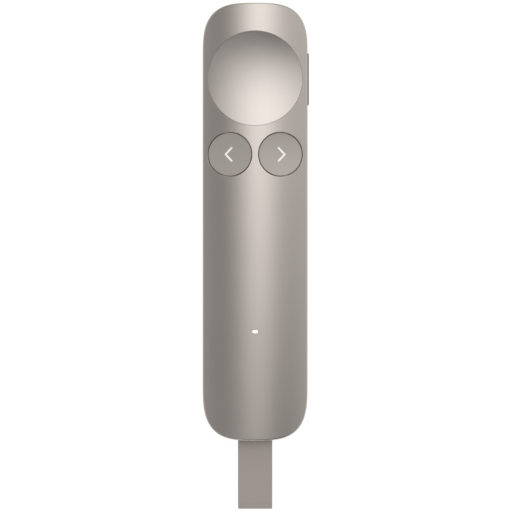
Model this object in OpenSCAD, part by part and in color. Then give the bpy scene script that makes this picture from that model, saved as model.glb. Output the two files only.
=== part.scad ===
// Wireless presentation clicker, with its USB-C receiver stowed in the tail on a strap loop.
// Millimetres. The front faces +Z, the nose points to +Y and the side key is on +X.
// The origin is the middle of the flat back.

/* [Body] */
// Length of the body from nose to tail
body_len = 131.2; // [118:0.1:150]
// Width of the body
body_w = 31.5; // [31:0.1:36]
// Thickness of the body at its ridge
body_h = 13; // [12.7:0.1:15]
// Radius of the crowned front, seen from an end
crown_r = 55; // [50:1:90]
// Rounding where the front meets the sides
front_edge_r = 0.5; // [0.3:0.1:1.6]
// Rounding where the back meets the sides and ends
back_edge_r = 4.8; // [3:0.1:4.8]
// Length over which the nose rounds off
nose_round = 16; // [12:0.5:20]
// Length over which the tail rounds off
tail_round = 16.9; // [12:0.1:20]
// Squareness of the rounded ends, where 2 is an ellipse
end_power = 3.2; // [2.8:0.1:4]
// Wall of the metal front shell
shell_wall = 1.1; // [0.9:0.05:1.3]
// Wall of the moulded back cover
cover_wall = 1.2; // [1:0.05:1.4]
// Height of the cover's lip inside the shell
lip_h = 1.2; // [0.8:0.1:1.6]

/* [Pointer button] */
// Metal left between the concave pointer button and the sides
pointer_rim = 1.55; // [1.5:0.05:3.5]
// Metal left between the pointer button and the nose
pointer_land = 8.4; // [7.5:0.1:10]
// Depth of its dish below the ridge
pointer_depth = 0.85; // [0.5:0.05:1.3]
// Wall under the dish
pointer_wall = 1.1; // [0.8:0.1:1.3]
// Running gap round the pointer button
pointer_gap = 0.12; // [0.08:0.02:0.2]
// Travel of the pointer button
pointer_travel = 0.4; // [0.2:0.05:0.4]

/* [Page buttons] */
// Diameter of each page button
page_d = 13; // [10:0.1:13.1]
// Distance between the two page buttons' middles
page_pitch = 15.2; // [14.8:0.1:15.6]
// Distance from the pointer button's edge to the page buttons' middles
page_drop = 8.6; // [8.3:0.1:12]
// Running gap round each page button
page_gap = 0.2; // [0.15:0.05:0.4]
// Travel of each page button
page_travel = 0.35; // [0.2:0.05:0.4]
// Radius of the faint hollow in each page button's face, along the body
page_hollow_r = 130; // [80:5:300]
// Reach of a chevron from its tip to its ends, along the middle of its stroke
chevron_w = 2; // [1.5:0.1:3]
// Height of a chevron, along the middle of its stroke
chevron_h = 4.2; // [2:0.1:5]
// Width of a chevron's stroke
chevron_stroke = 0.55; // [0.4:0.05:0.8]
// Depth of the chevron inlay
chevron_t = 0.3; // [0.2:0.05:0.5]

/* [Side key] */
// Length of the side key
side_key_len = 15.4; // [10:0.1:18]
// Height of the side key
side_key_h = 2.6; // [2:0.1:2.8]
// How far the side key stands out of the shell
side_key_proud = 0.4; // [0.4:0.05:0.8]
// Running gap round the side key
side_key_gap = 0.15; // [0.1:0.05:0.2]
// Travel of the side key
side_key_travel = 0.3; // [0.15:0.05:0.35]

/* [Status light] */
// Distance from the tail to the status window
light_from_tail = 32.7; // [29:0.1:38]
// Width of the status window
light_w = 1.8; // [1.4:0.1:2.2]
// Length of the status window along the body
light_l = 1; // [0.8:0.1:1.4]

/* [Circuit board and chassis] */
// Thickness of the circuit board
board_t = 0.8; // [0.6:0.1:1]
// Gap between the circuit board and the back cover's lip
board_gap = 0.3; // [0.2:0.05:0.6]
// Thickness of the chassis plate
chassis_t = 1; // [0.8:0.1:1.1]
// Height of the chassis plate above the circuit board
chassis_lift = 0.8; // [0.8:0.05:0.9]

/* [Switches] */
// Width of the pointer's switch
pointer_switch_w = 6; // [4:0.1:6.2]
// Width of each page switch
page_switch_w = 4.5; // [3.5:0.1:5.2]
// Height of the switch housings
switch_h = 1.5; // [1.4:0.05:1.6]
// Rise of a plunger above its switch housing
plunger_rise = 0.5; // [0.45:0.05:0.6]
// Radius of a plunger
plunger_r = 1.2; // [0.9:0.05:1.4]

/* [Battery] */
// Room left between the battery's connector and the receiver's dock
battery_room = 8.85; // [7:0.05:15]
// Width of the battery cell
cell_w = 20; // [14:0.5:21]
// Thickness of the battery cell
cell_t = 3.4; // [3:0.1:3.6]
// Thickness of the adhesive pad under the cell
pad_t = 0.2; // [0.1:0.05:0.4]

/* [Vibration motor] */
// Diameter of the coin motor
motor_d = 8; // [7:0.5:10]
// Height of the coin motor
motor_h = 2.7; // [2.4:0.1:3.2]

/* [Laser] */
// Diameter of the laser barrel
barrel_d = 4.4; // [4:0.1:4.6]
// Diameter of the laser window in the nose
window_d = 3; // [2.4:0.1:3.1]

/* [Charging port and receiver] */
// Width of the receiver's housing
receiver_w = 12.6; // [12.4:0.1:13.4]
// Height of the receiver's housing
receiver_h = 6.6; // [6.5:0.1:7]
// Length of the receiver's housing
receiver_len = 14.8; // [14.2:0.1:16]
// Wall of the receiver's housing
receiver_wall = 0.8; // [0.6:0.05:0.85]
// Gap between the receiver and its dock
dock_gap = 0.2; // [0.15:0.05:0.3]
// Side wall of the dock
dock_wall = 0.9; // [0.7:0.1:1.2]

/* [Strap] */
// Width of the strap
strap_w = 10.3; // [8:0.1:10.4]
// Visible length of the strap loop
strap_len = 20.9; // [10:0.1:40]
// Thickness of the strap
strap_t = 1.1; // [0.8:0.05:1.2]
// Radius of the pin that the strap wraps
strap_pin_r = 1.1; // [0.8:0.05:1.2]

/* [Screws] */
// Radius of a screw's shank
screw_r = 0.7; // [0.5:0.05:0.8]
// Length of a screw under its head
screw_len = 4.2; // [3.6:0.1:4.4]
// Radius of a screw's head
screw_head_r = 1.4; // [1.2:0.05:1.5]
// Radius of the shell's screw bosses
boss_r = 1.9; // [1.6:0.1:2.1]

/* [Hidden] */

$fn = 64;
end_steps = 14;
past = 1;
hair = 0.02;
run_gap = 0.1;
seat_gap = 0.15;

metal = [0.66, 0.62, 0.58];
cap = [0.6, 0.57, 0.54];
dark_key = [0.42, 0.39, 0.37];
cover = [0.5, 0.47, 0.45];
band = [0.52, 0.5, 0.48];
pale = [0.94, 0.94, 0.93];
black = [0.14, 0.14, 0.15];
board = [0.1, 0.32, 0.2];
steel = [0.75, 0.76, 0.78];
brass = [0.78, 0.65, 0.36];
red = [0.75, 0.12, 0.1];
copper = [0.72, 0.45, 0.3];
clear = [0.85, 0.9, 0.95, 0.6];

// ends and stations along the body
nose_y = body_len / 2;
tail_y = -body_len / 2;
pointer_r = body_w / 2 - pointer_rim;
pointer_y = nose_y - pointer_land - pointer_r;
page_y = pointer_y - pointer_r - page_drop;
light_y = tail_y + light_from_tail;
page_r = page_d / 2;
page_x = page_pitch / 2;

// levels, from the back upwards
cell_room = 0.6;
cell_z = cover_wall + pad_t;
board_z = cell_z + cell_t + cell_room;
board_top = board_z + board_t;
chassis_z = board_top + chassis_lift;
chassis_top = chassis_z + chassis_t;
seam_drop = 0.6;
seam_z = board_z - seam_drop;
plunger_top = board_top + switch_h + plunger_rise;
chip_h = 0.7;

// the lip of the back cover, inside the shell's wall
lip_out = shell_wall + run_gap;
lip_t = 0.8;
lip_in = lip_out + lip_t;
lip_root_h = 1.4;
lip_bite = 0.2;
back_steps = 6;
back_r = min(back_edge_r, seam_z);
snap_ys = [page_y, light_y];
snap_len = 5;
snap_h = 0.5;
snap_reach = 0.3;

// screws, as distances from the middle line and places along the body
nose_screw_in = 7.2;
nose_screw_side = 6.2;
mid_screw_drop = 5.4;
tail_screw_in = 19.5;
wall_screw_gap = 1.6;
side_screw_x = body_w / 2 - shell_wall - boss_r - wall_screw_gap;
mid_screw_y = page_y - page_r - mid_screw_drop;
screw_spots = [[body_w / 2 - nose_screw_side, nose_y - nose_screw_in],
    [side_screw_x, mid_screw_y],
    [side_screw_x, tail_y + tail_screw_in]];
screw_clear = 0.15;
screw_fit = 0.05;
screw_head_h = 0.7;
drive_r = 0.6;
drive_depth = 0.4;
boss_bite = 0.4;

// retaining tabs of the caps, under the shell's deck
tab_w = 4;
tab_t = 0.9;
tab_reach = 0.8;
pointer_tab_x = 5;
guide_r = 0.9;
guide_in = 3.2;
guide_orbit = pointer_r - guide_in;
guide_lift = 0.2;
post_r = 1.6;
pointer_clear = 0.5;
bowl_z = body_h - pointer_depth;
bowl_side_drop = bowl_z - crown_z(pointer_r);
bowl_along = (pointer_r * pointer_r + pointer_depth * pointer_depth) / (2 * pointer_depth);
bowl_across = (pointer_r * pointer_r + bowl_side_drop * bowl_side_drop) / (2 * bowl_side_drop);
guide_top = bowl_z + guide_orbit * guide_orbit / 4 * (1 / bowl_along - 1 / bowl_across) - pointer_wall / 2;
pointer_bottom = chassis_top + pointer_travel + pointer_clear;
skirt_t = 1.2;
page_rim_t = 1.4;
page_sink = 0.05;
page_hollow_deep = page_hollow_r - sqrt(page_hollow_r * page_hollow_r - page_r * page_r);
chevron_tip = 1.3;
plunger_root = 0.5;

// side key and its switch
side_rise = 0.7;
side_z = board_top + side_rise;
side_in = body_w / 2 - shell_wall - run_gap;
side_flange_t = 1;
side_flange_reach = 1;
side_boss_len = 0.9;
side_tip_x = side_in - side_flange_t - side_boss_len;
side_boss_w = 3;
side_boss_h = 1;
side_switch_d = 2.4;
side_switch_w = 4.4;
side_plunger_w = 1.6;
side_plunger_h = 0.8;

// laser in the nose
laser_rise = 0.3;
laser_z = board_top + laser_rise;
barrel_in = 1.5;
barrel_front = nose_y - barrel_in;
barrel_room = 0.2;
barrel_back = pointer_y + pointer_r + pointer_gap + barrel_room;
barrel_wall = 0.55;
window_t = 0.8;
lens_t = 1.1;
lens_r = 4;
diode_can_len = 1.3;
diode_pin_r = 0.18;
diode_pin_len = 1.6;
diode_pin_pitch = 0.9;
cradle_len = 2.4;
cradle_room = 0.4;
cradle_back = pointer_y + pointer_r + tab_reach + cradle_room;
cradle_wall = 1.1;

// charging port, by the USB-C standard
port_z = laser_z;
port_w = 8.94;
port_h = 3.16;
port_wall = 0.3;
port_len = 7.35;
plug_w = 8.25;
plug_h = 2.4;
plug_len = 6.65;
plug_wall = 0.25;
tongue_w = 6.69;
tongue_t = 0.7;
tongue_len = 4.9;
slot_w = 6.9;
slot_h = 0.9;
slot_depth = 5.4;
port_base = 0.8;
port_ear = 1.1;
port_ear_t = 0.3;
port_ear_l = 1.6;

// receiver and dock, from the tail inwards
receiver_recess = 0.3;
receiver_end = tail_y + receiver_recess;
receiver_front = receiver_end + receiver_len;
port_gap = 0.3;
port_mouth = receiver_front + port_gap;
port_back = port_mouth + port_len;
dock_back_t = 0.8;
dock_w = receiver_w + 2 * (dock_gap + dock_wall);
dock_land = 1.5;
dock_front = tail_y + back_r + dock_land;
dock_back = receiver_front + dock_gap + dock_back_t;
dock_top = crown_z(dock_w / 2) - shell_wall - seat_gap;
housing_r = 1.2;
mouth_r = housing_r + dock_gap;
pin_in = 4;
pin_y = receiver_end + pin_in;
tail_room = 6.4;
plug_root = 2;
receiver_board_t = 0.8;
strap_in = strap_pin_r + seat_gap;
strap_out = strap_in + strap_t;
strap_end = tail_y - strap_len;
strap_bow_y = strap_end + strap_out;
strap_slot_h = 2 * strap_out + 2 * seat_gap;
strap_slot_w = strap_w + 2 * seat_gap;
pin_grip = 0.5;

// battery, from the mid screws back to its connector
cell_gap = 1.6;
safety_l = 2.4;
safety_t = 1;
safety_in = 3.3;
lead_r = 0.45;
lead_x = 1.2;
lead_len = 2.4;
connector_w = 5;
connector_l = 3;
cell_front = mid_screw_y - screw_head_r - cell_gap;
cell_back = dock_back + battery_room + connector_l + lead_len + safety_l;
cell_len = cell_front - cell_back;
cell_r = 1;
pad_in = 2;
rib_w = 10;
rib_t = 0.8;
rib_h = 1;

// vibration motor
motor_y = (mid_screw_y + light_y) / 2;
motor_wall = 0.25;
motor_shaft_r = 0.4;
rotor_fit = 0.05;
rotor_gap = 0.3;
rotor_hub_r = 1;

// small parts on the board
shield_w = 12;
shield_l = 9;
shield_h = 1.3;
shield_wall = 0.2;
shield_drop = 1.5;
shield_y = mid_screw_y - shield_drop;
radio_w = 5;
sensor_in = 5.2;
sensor_at = [0, pointer_y - pointer_r + sensor_in];
sensor_size = [3, 2.5];
charger_side = 7.7;
charger_drop = 4;
charger_at = [charger_side - body_w / 2, light_y - charger_drop];
charger_w = 3;
antenna_side = 7.2;
antenna_in = 14.6;
antenna_at = [antenna_side - body_w / 2, nose_y - antenna_in];
antenna_size = [6, 1.6, 1];
lamp_size = [1.6, 0.8, 0.6];
pipe_r = 1.3;
pipe_flange_r = 2.2;
pipe_flange_t = 0.5;
lamp_gap = 0.2;

// height of the crowned front at a distance x from the middle line
function crown_z(x) = body_h - crown_r + sqrt(crown_r * crown_r - x * x);

function arc(cx, cy, r, from, to, steps = 6) =
    [for (i = [0:steps]) let(a = from + (to - from) * i / steps) [cx + r * cos(a), cy + r * sin(a)]];

function round_rect(w, h, r) = concat(
    arc(w / 2 - r, h / 2 - r, r, 0, 90),
    arc(r - w / 2, h / 2 - r, r, 90, 180),
    arc(r - w / 2, r - h / 2, r, 180, 270),
    arc(w / 2 - r, r - h / 2, r, 270, 360));

// half of a superellipse, from its right end over its top to its left end
function end_curve(a, b) = [for (i = [0:2 * end_steps]) let(t = 90 * i / end_steps)
    [a * sign(cos(t)) * pow(abs(cos(t)), 2 / end_power), b * pow(max(sin(t), 0), 2 / end_power)]];

// plan of the body, drawn in by inset
function plan(inset) = concat(
    [for (p = end_curve(body_w / 2 - inset, nose_round - inset)) [p.x, nose_y - nose_round + p.y]],
    [for (p = end_curve(body_w / 2 - inset, tail_round - inset)) [-p.x, tail_y + tail_round - p.y]]);

// right half of the shell's cross-section, from below the back up its side to the ridge
function half_section(inset) =
    let(half = body_w / 2 - inset,
        edge = max(front_edge_r - inset, hair),
        big = crown_r - inset,
        lean = asin((half - edge) / (big - edge)),
        edge_z = body_h - crown_r + (big - edge) * cos(lean))
    concat(
        [[half, -past]],
        arc(half - edge, edge_z, edge, 0, 90 - lean, 4),
        arc(0, body_h - crown_r, big, 90 - lean, 90, 7));

function mirrored(points) = [for (i = [len(points) - 1:-1:0]) [-points[i].x, points[i].y]];

module block(low, high) {
    translate(low)
        cube(high - low);
}

module rod(r, low, high) {
    translate([0, 0, low])
        cylinder(r = r, h = high - low);
}

// a straight bar along Y, with a rounded outline
module bar_y(outline, from, to, z) {
    translate([0, to, z])
        rotate([90, 0, 0])
            linear_extrude(to - from)
                polygon(outline);
}

// a flat tube along Y with full-round sides
module flat_bar_y(w, h, from, to, z) {
    translate([0, to, z])
        rotate([90, 0, 0])
            linear_extrude(to - from) {
                square([w - h, h], center = true);
                for (side = [-1, 1])
                    translate([side * (w - h) / 2, 0])
                        circle(d = h);
            }
}

// the crowned front with straight sides, drawn in by inset
module crowned_form(inset) {
    half = half_section(inset);
    intersection() {
        translate([0, 0, -past])
            linear_extrude(body_h + 2 * past)
                polygon(plan(inset));
        bar_y(concat(half, mirrored(half)), tail_y - past, nose_y + past, 0);
    }
}

// a solid through a stack of rings, from the lowest to the highest
module stacked(rings) {
    n = len(rings[0]);
    top = n * (len(rings) - 1);
    polyhedron(
        [for (ring = rings) each ring],
        concat(
            [[for (j = [0:n - 1]) j]],
            [[for (j = [n - 1:-1:0]) top + j]],
            [for (i = [0:n:top - 1], j = [0:n - 1]) [i + j, i + n + j, i + n + (j + 1) % n]],
            [for (i = [0:n:top - 1], j = [0:n - 1]) [i + j, i + n + (j + 1) % n, i + (j + 1) % n]]));
}

function ring_at(inset, z) = [for (p = plan(inset)) [p.x, p.y, z]];

// the back, rounded all along its edge, drawn in by inset and carried up to top
module back_form(inset, top) {
    r = back_r - inset;
    stacked(concat(
        [for (i = [0:back_steps]) let(lean = 90 * i / back_steps)
            ring_at(inset + r * (1 - sin(lean)), min(inset + r * (1 - cos(lean)), top - hair))],
        [ring_at(inset, top)]));
}

module rim(outer, inner, low, high) {
    translate([0, 0, low])
        linear_extrude(high - low)
            difference() {
                polygon(plan(outer));
                polygon(plan(inner));
            }
}

module at_screws() {
    for (spot = screw_spots)
        for (side = [-1, 1])
            translate([side * spot.x, spot.y, 0])
                children();
}

module at_guides() {
    for (turn = [45:90:315])
        translate([guide_orbit * cos(turn), pointer_y + guide_orbit * sin(turn), 0])
            children();
}

module mouth(from, to) {
    bar_y(round_rect(receiver_w + 2 * dock_gap, receiver_h + 2 * dock_gap, mouth_r), from, to, port_z);
}

module snaps(reach, room) {
    for (y = snap_ys)
        for (side = [-1, 1])
            translate([side * (body_w / 2 - lip_out), y, seam_z + lip_h / 2])
                cube([2 * reach, snap_len + 2 * room, snap_h + 2 * room], center = true);
}

// outline of the side key, standing in the YZ plane
module side_pill(grow, from, to) {
    translate([from, pointer_y, side_z])
        rotate([90, 0, 90])
            linear_extrude(to - from) {
                square([side_key_len - side_key_h, side_key_h + 2 * grow], center = true);
                for (side = [-1, 1])
                    translate([side * (side_key_len - side_key_h) / 2, 0])
                        circle(d = side_key_h + 2 * grow);
            }
}

module light_slot(grow, low, high) {
    translate([0, light_y, low])
        linear_extrude(high - low) {
            square([light_w - light_l, light_l + 2 * grow], center = true);
            for (side = [-1, 1])
                translate([side * (light_w - light_l) / 2, 0])
                    circle(d = light_l + 2 * grow);
        }
}

module front_shell() {
    color(metal)
        difference() {
            union() {
                difference() {
                    intersection() {
                        crowned_form(0);
                        block([-body_w, tail_y - past, seam_z], [body_w, nose_y + past, body_h + past]);
                    }
                    crowned_form(shell_wall);
                }
                intersection() {
                    crowned_form(shell_wall - boss_bite);
                    at_screws()
                        rod(boss_r, chassis_top, body_h);
                }
            }
            translate([0, pointer_y, 0])
                rod(pointer_r + pointer_gap, chassis_top, body_h + past);
            for (side = [-1, 1])
                translate([side * page_x, page_y, 0])
                    rod(page_r + page_gap, chassis_top, body_h + past);
            side_pill(side_key_gap, body_w / 2 - shell_wall - past, body_w / 2 + past);
            light_slot(run_gap / 2, chassis_top, body_h + past);
            translate([0, nose_y + past, laser_z])
                rotate([90, 0, 0])
                    rod(window_d / 2 + screw_fit, 0, shell_wall + 2 * past);
            mouth(tail_y - past, tail_y + shell_wall + past);
            at_screws()
                rod(screw_r + screw_fit, chassis_top - past, board_z + screw_len + seat_gap);
            snaps(snap_reach + 2 * run_gap, run_gap);
        }
}

module back_cover() {
    barrel_slot = barrel_d / 2 + run_gap;
    color(cover)
        difference() {
            union() {
                difference() {
                    back_form(0, seam_z);
                    back_form(cover_wall, seam_z + past);
                }
                rim(cover_wall - lip_bite, lip_in, seam_z - lip_root_h, seam_z);
                rim(lip_out, lip_in, seam_z - hair, seam_z + lip_h);
                snaps(snap_reach, 0);
                for (y = [cell_front + run_gap, cell_back - safety_l - run_gap - rib_t])
                    block([-rib_w / 2, y, cover_wall - lip_bite], [rib_w / 2, y + rib_t, cover_wall + rib_h]);
            }
            mouth(tail_y - past, tail_y + lip_in + past);
            block([-barrel_slot, nose_y - lip_in - past, laser_z - barrel_slot],
                [barrel_slot, nose_y - cover_wall, body_h]);
            side_notch(side_tip_x, seam_z - hair, body_h);
        }
}

module chassis() {
    cradle_r = barrel_d / 2 + cradle_wall;
    color(black)
        difference() {
            union() {
                translate([0, 0, chassis_z])
                    linear_extrude(chassis_t)
                        intersection() {
                            polygon(plan(shell_wall + seat_gap));
                            translate([-body_w, dock_back + seat_gap])
                                square([2 * body_w, body_len]);
                        }
                at_screws()
                    rod(boss_r, board_top, chassis_z + hair);
                block([-cradle_r, cradle_back, laser_z - cradle_r],
                    [cradle_r, cradle_back + cradle_len, laser_z + cradle_r]);
            }
            at_screws()
                rod(screw_r + screw_clear, board_top - past, chassis_top + past);
            at_guides()
                rod(guide_r + run_gap, chassis_z - past, chassis_top + past);
            window([0, pointer_y], [pointer_switch_w, pointer_switch_w]);
            for (side = [-1, 1])
                window([side * page_x, page_y], [page_switch_w, page_switch_w]);
            window([0, shield_y], [shield_w, shield_l]);
            translate([0, motor_y, 0])
                rod(motor_d / 2 + seat_gap, chassis_z - past, chassis_top + past);
            translate([0, light_y, 0])
                rod(pipe_r + run_gap, chassis_z - past, chassis_top + past);
            translate([0, barrel_front, laser_z])
                rotate([90, 0, 0])
                    rod(barrel_d / 2 + screw_fit, 0, barrel_front - barrel_back + run_gap);
            block([-barrel_d / 2 - run_gap, cradle_back + cradle_len, chassis_z - past],
                [barrel_d / 2 + run_gap, nose_y, chassis_top + past]);
            block([-port_w / 2 - seat_gap, tail_y, chassis_z - past],
                [port_w / 2 + seat_gap, port_back + seat_gap, chassis_top + past]);
            side_notch(side_tip_x - side_key_travel - seat_gap, chassis_z - past, chassis_top + past);
            block([side_tip_x - plunger_rise - side_switch_d - seat_gap,
                    pointer_y - side_switch_w / 2 - seat_gap, chassis_z - past],
                [side_in, pointer_y + side_switch_w / 2 + seat_gap, chassis_top + past]);
        }
}

module window(at, size) {
    block([at.x - size.x / 2 - seat_gap, at.y - size.y / 2 - seat_gap, chassis_z - past],
        [at.x + size.x / 2 + seat_gap, at.y + size.y / 2 + seat_gap, chassis_top + past]);
}

// room for the side key's flange in a plate's edge
module side_notch(from, low, high) {
    block([from, pointer_y - side_key_len / 2 - side_flange_reach - seat_gap, low],
        [body_w, pointer_y + side_key_len / 2 + side_flange_reach + seat_gap, high]);
}

module main_board() {
    notch = barrel_d / 2 + cradle_wall + seat_gap;
    color(board)
        difference() {
            translate([0, 0, board_z])
                linear_extrude(board_t)
                    intersection() {
                        polygon(plan(lip_in + board_gap));
                        translate([-body_w, dock_back + seat_gap])
                            square([2 * body_w, nose_y - nose_screw_in + boss_r - dock_back]);
                    }
            at_screws()
                rod(screw_r + screw_clear, board_z - past, board_top + past);
            block([-notch, barrel_back - seat_gap, board_z - past], [notch, nose_y, board_top + past]);
            block([-port_w / 2 - run_gap, tail_y, board_z - past],
                [port_w / 2 + run_gap, port_back + run_gap, board_top + past]);
            side_notch(side_in - side_flange_t - side_key_travel - seat_gap, board_z - past, board_top + past);
        }
}

module radio_chip() {
    color(black)
        translate([-radio_w / 2, shield_y - radio_w / 2, board_top])
            cube([radio_w, radio_w, chip_h]);
}

module radio_shield() {
    inner_w = shield_w - 2 * shield_wall;
    inner_l = shield_l - 2 * shield_wall;
    color(steel)
        difference() {
            translate([-shield_w / 2, shield_y - shield_l / 2, board_top])
                cube([shield_w, shield_l, shield_h]);
            translate([-inner_w / 2, shield_y - inner_l / 2, board_top - past])
                cube([inner_w, inner_l, shield_h - shield_wall + past]);
        }
}

module motion_sensor() {
    color(black)
        translate([sensor_at.x - sensor_size.x / 2, sensor_at.y - sensor_size.y / 2, board_top])
            cube([sensor_size.x, sensor_size.y, chip_h]);
}

module charging_chip() {
    color(black)
        translate([charger_at.x - charger_w / 2, charger_at.y - charger_w / 2, board_top])
            cube([charger_w, charger_w, chip_h]);
}

module antenna() {
    color(pale)
        translate([antenna_at.x - antenna_size.x / 2, antenna_at.y - antenna_size.y / 2,
                board_z - antenna_size.z])
            cube(antenna_size);
}

// the solid that scoops the pointer button: hollow along Y, and bent across it like the crown
module bowl(grow) {
    translate([0, pointer_y, bowl_z - bowl_across])
        rotate([90, 0, 0])
            rotate_extrude($fn = 720)
                intersection() {
                    translate([bowl_across + bowl_along, 0])
                        circle(r = bowl_along + grow, $fn = 720);
                    translate([0, -body_w])
                        square([bowl_across + body_h, 2 * body_w]);
                }
}

module pointer_button() {
    tab_top = crown_z(pointer_tab_x + tab_w / 2) - shell_wall - run_gap;
    color(cap)
        union() {
            difference() {
                translate([0, pointer_y, 0])
                    rod(pointer_r, pointer_bottom, body_h + past);
                bowl(0);
                difference() {
                    translate([0, pointer_y, 0])
                        rod(pointer_r - skirt_t, pointer_bottom - past, body_h);
                    bowl(pointer_wall);
                }
            }
            difference() {
                intersection() {
                    translate([0, pointer_y, 0])
                        rod(pointer_r + tab_reach, tab_top - tab_t, tab_top);
                    for (side = [-1, 1])
                        translate([side * pointer_tab_x, pointer_y, tab_top])
                            cube([tab_w, 2 * body_w, 3 * tab_t], center = true);
                }
                translate([0, pointer_y, 0])
                    rod(pointer_r - skirt_t / 2, pointer_bottom, body_h);
            }
            translate([0, pointer_y, 0])
                rod(post_r, plunger_top, bowl_z - pointer_wall / 2);
            at_guides()
                rod(guide_r, chassis_z + guide_lift, guide_top);
        }
}

// a switch housing, with a blind well for its plunger
module switch_housing(at, w) {
    well = 0.4;
    color(black)
        translate([at.x, at.y, board_top])
            difference() {
                translate([-w / 2, -w / 2, 0])
                    cube([w, w, switch_h]);
                rod(plunger_r + run_gap, well, switch_h + past);
            }
}

module plunger(at) {
    color(pale)
        translate([at.x, at.y, 0])
            rod(plunger_r, plunger_top - plunger_rise - plunger_root, plunger_top);
}

module pointer_plunger() {
    plunger([0, pointer_y]);
}

module pointer_switch() {
    switch_housing([0, pointer_y], pointer_switch_w);
}

// places its children on a page button's face: origin at the middle of its rim's plane, +Z out of it
module on_page_face(side) {
    inner_z = crown_z(page_x - page_r);
    outer_z = crown_z(page_x + page_r);
    translate([side * page_x, page_y, (inner_z + outer_z) / 2 - page_sink])
        rotate([0, side * atan((inner_z - outer_z) / page_d), 0])
            children();
}

// a chevron in the plane, with its tip pointing to +X and its ends cut square
module chevron_outline() {
    slant = atan(chevron_h / 2 / chevron_w);
    mitre = chevron_stroke / 2 / sin(slant);
    end = [chevron_tip - chevron_w, chevron_h / 2];
    half = chevron_stroke / 2 * [sin(slant), cos(slant)];
    polygon([[chevron_tip + mitre, 0], end + half, end - half, [chevron_tip - mitre, 0],
        [(end - half).x, -(end - half).y], [(end + half).x, -(end + half).y]]);
}

// what lies over a page button's faintly hollow face
module over_page_face() {
    translate([-page_d, -page_d, 0])
        cube([2 * page_d, 2 * page_d, page_d]);
    translate([-page_d, 0, page_hollow_r - page_hollow_deep])
        rotate([0, 90, 0])
            cylinder(r = page_hollow_r, h = 2 * page_d, $fn = 720);
}

module chevron(side) {
    low = -chevron_t - page_hollow_deep;
    on_page_face(side)
        difference() {
            translate([0, 0, low])
                linear_extrude(-low)
                    scale([side, 1])
                        chevron_outline();
            over_page_face();
        }
}

module page_button(side) {
    low = crown_z(page_x + page_r) - page_rim_t;
    tab_top = crown_z(page_x + tab_w / 2) - shell_wall - run_gap;
    color(cap)
        difference() {
            union() {
                difference() {
                    translate([side * page_x, page_y, 0])
                        rod(page_r, low, body_h + past);
                    on_page_face(side)
                        over_page_face();
                }
                translate([side * page_x, page_y, tab_top - tab_t / 2])
                    cube([tab_w, page_d + 2 * tab_reach, tab_t], center = true);
                translate([side * page_x, page_y, 0])
                    rod(post_r, plunger_top, low + tab_t / 2);
            }
            chevron(side);
        }
}

module back_button() {
    page_button(-1);
}

module back_chevron() {
    color(pale)
        chevron(-1);
}

module back_plunger() {
    plunger([-page_x, page_y]);
}

module back_switch() {
    switch_housing([-page_x, page_y], page_switch_w);
}

module next_button() {
    page_button(1);
}

module next_chevron() {
    color(pale)
        chevron(1);
}

module next_plunger() {
    plunger([page_x, page_y]);
}

module next_switch() {
    switch_housing([page_x, page_y], page_switch_w);
}

module side_key() {
    flange_half = side_key_len / 2 + side_flange_reach;
    color(dark_key) {
        side_pill(0, side_in - side_flange_t / 2, body_w / 2 + side_key_proud);
        block([side_in - side_flange_t, pointer_y - flange_half, side_z - side_key_h / 2],
            [side_in, pointer_y + flange_half, side_z + side_key_h / 2]);
        block([side_tip_x, pointer_y - side_boss_w / 2, side_z - side_boss_h / 2],
            [side_in - side_flange_t / 2, pointer_y + side_boss_w / 2, side_z + side_boss_h / 2]);
    }
}

module side_plunger() {
    color(pale)
        block([side_tip_x - 2 * plunger_rise, pointer_y - side_plunger_w / 2, side_z - side_plunger_h / 2],
            [side_tip_x, pointer_y + side_plunger_w / 2, side_z + side_plunger_h / 2]);
}

module side_switch() {
    front = side_tip_x - plunger_rise;
    well_w = side_plunger_w + 2 * run_gap;
    well_h = side_plunger_h + 2 * run_gap;
    color(black)
        difference() {
            block([front - side_switch_d, pointer_y - side_switch_w / 2, board_top],
                [front, pointer_y + side_switch_w / 2, board_top + switch_h]);
            block([front - 2 * plunger_rise, pointer_y - well_w / 2, side_z - well_h / 2],
                [front + past, pointer_y + well_w / 2, side_z + well_h / 2]);
        }
}

module status_lamp() {
    color(pale)
        translate([-lamp_size.x / 2, light_y - lamp_size.y / 2, board_top])
            cube(lamp_size);
}

module light_pipe() {
    neck_z = crown_z(light_w) - shell_wall - seat_gap;
    color(clear) {
        translate([0, light_y, 0]) {
            rod(pipe_r, board_top + lamp_size.z + lamp_gap, neck_z);
            rod(pipe_flange_r, chassis_top, chassis_top + pipe_flange_t);
        }
        light_slot(0, neck_z - hair, crown_z(light_w / 2) - hair);
    }
}

module battery_cell() {
    color(steel)
        translate([0, (cell_front + cell_back) / 2, cell_z])
            linear_extrude(cell_t)
                polygon(round_rect(cell_w, cell_len, cell_r));
}

module battery_pad() {
    color(black)
        translate([0, (cell_front + cell_back) / 2, cover_wall])
            linear_extrude(pad_t)
                square([cell_w - 2 * pad_in, cell_len - 2 * pad_in], center = true);
}

module battery_safety_board() {
    color(board)
        translate([safety_in - cell_w / 2, cell_back - safety_l, cell_z + cell_t / 2 - safety_t / 2])
            cube([cell_w - 2 * safety_in, safety_l, safety_t]);
}

module battery_connector() {
    back = cell_back - safety_l - lead_len;
    color(pale)
        block([-connector_w / 2, back - connector_l, cell_z + cell_t / 2 - safety_t / 2],
            [connector_w / 2, back, board_z]);
}

module battery_lead(side) {
    translate([side * lead_x, cell_back - safety_l, cell_z + cell_t / 2])
        rotate([90, 0, 0])
            rod(lead_r, 0, lead_len);
}

module battery_lead_red() {
    color(red)
        battery_lead(-1);
}

module battery_lead_black() {
    color(black)
        battery_lead(1);
}

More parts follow.
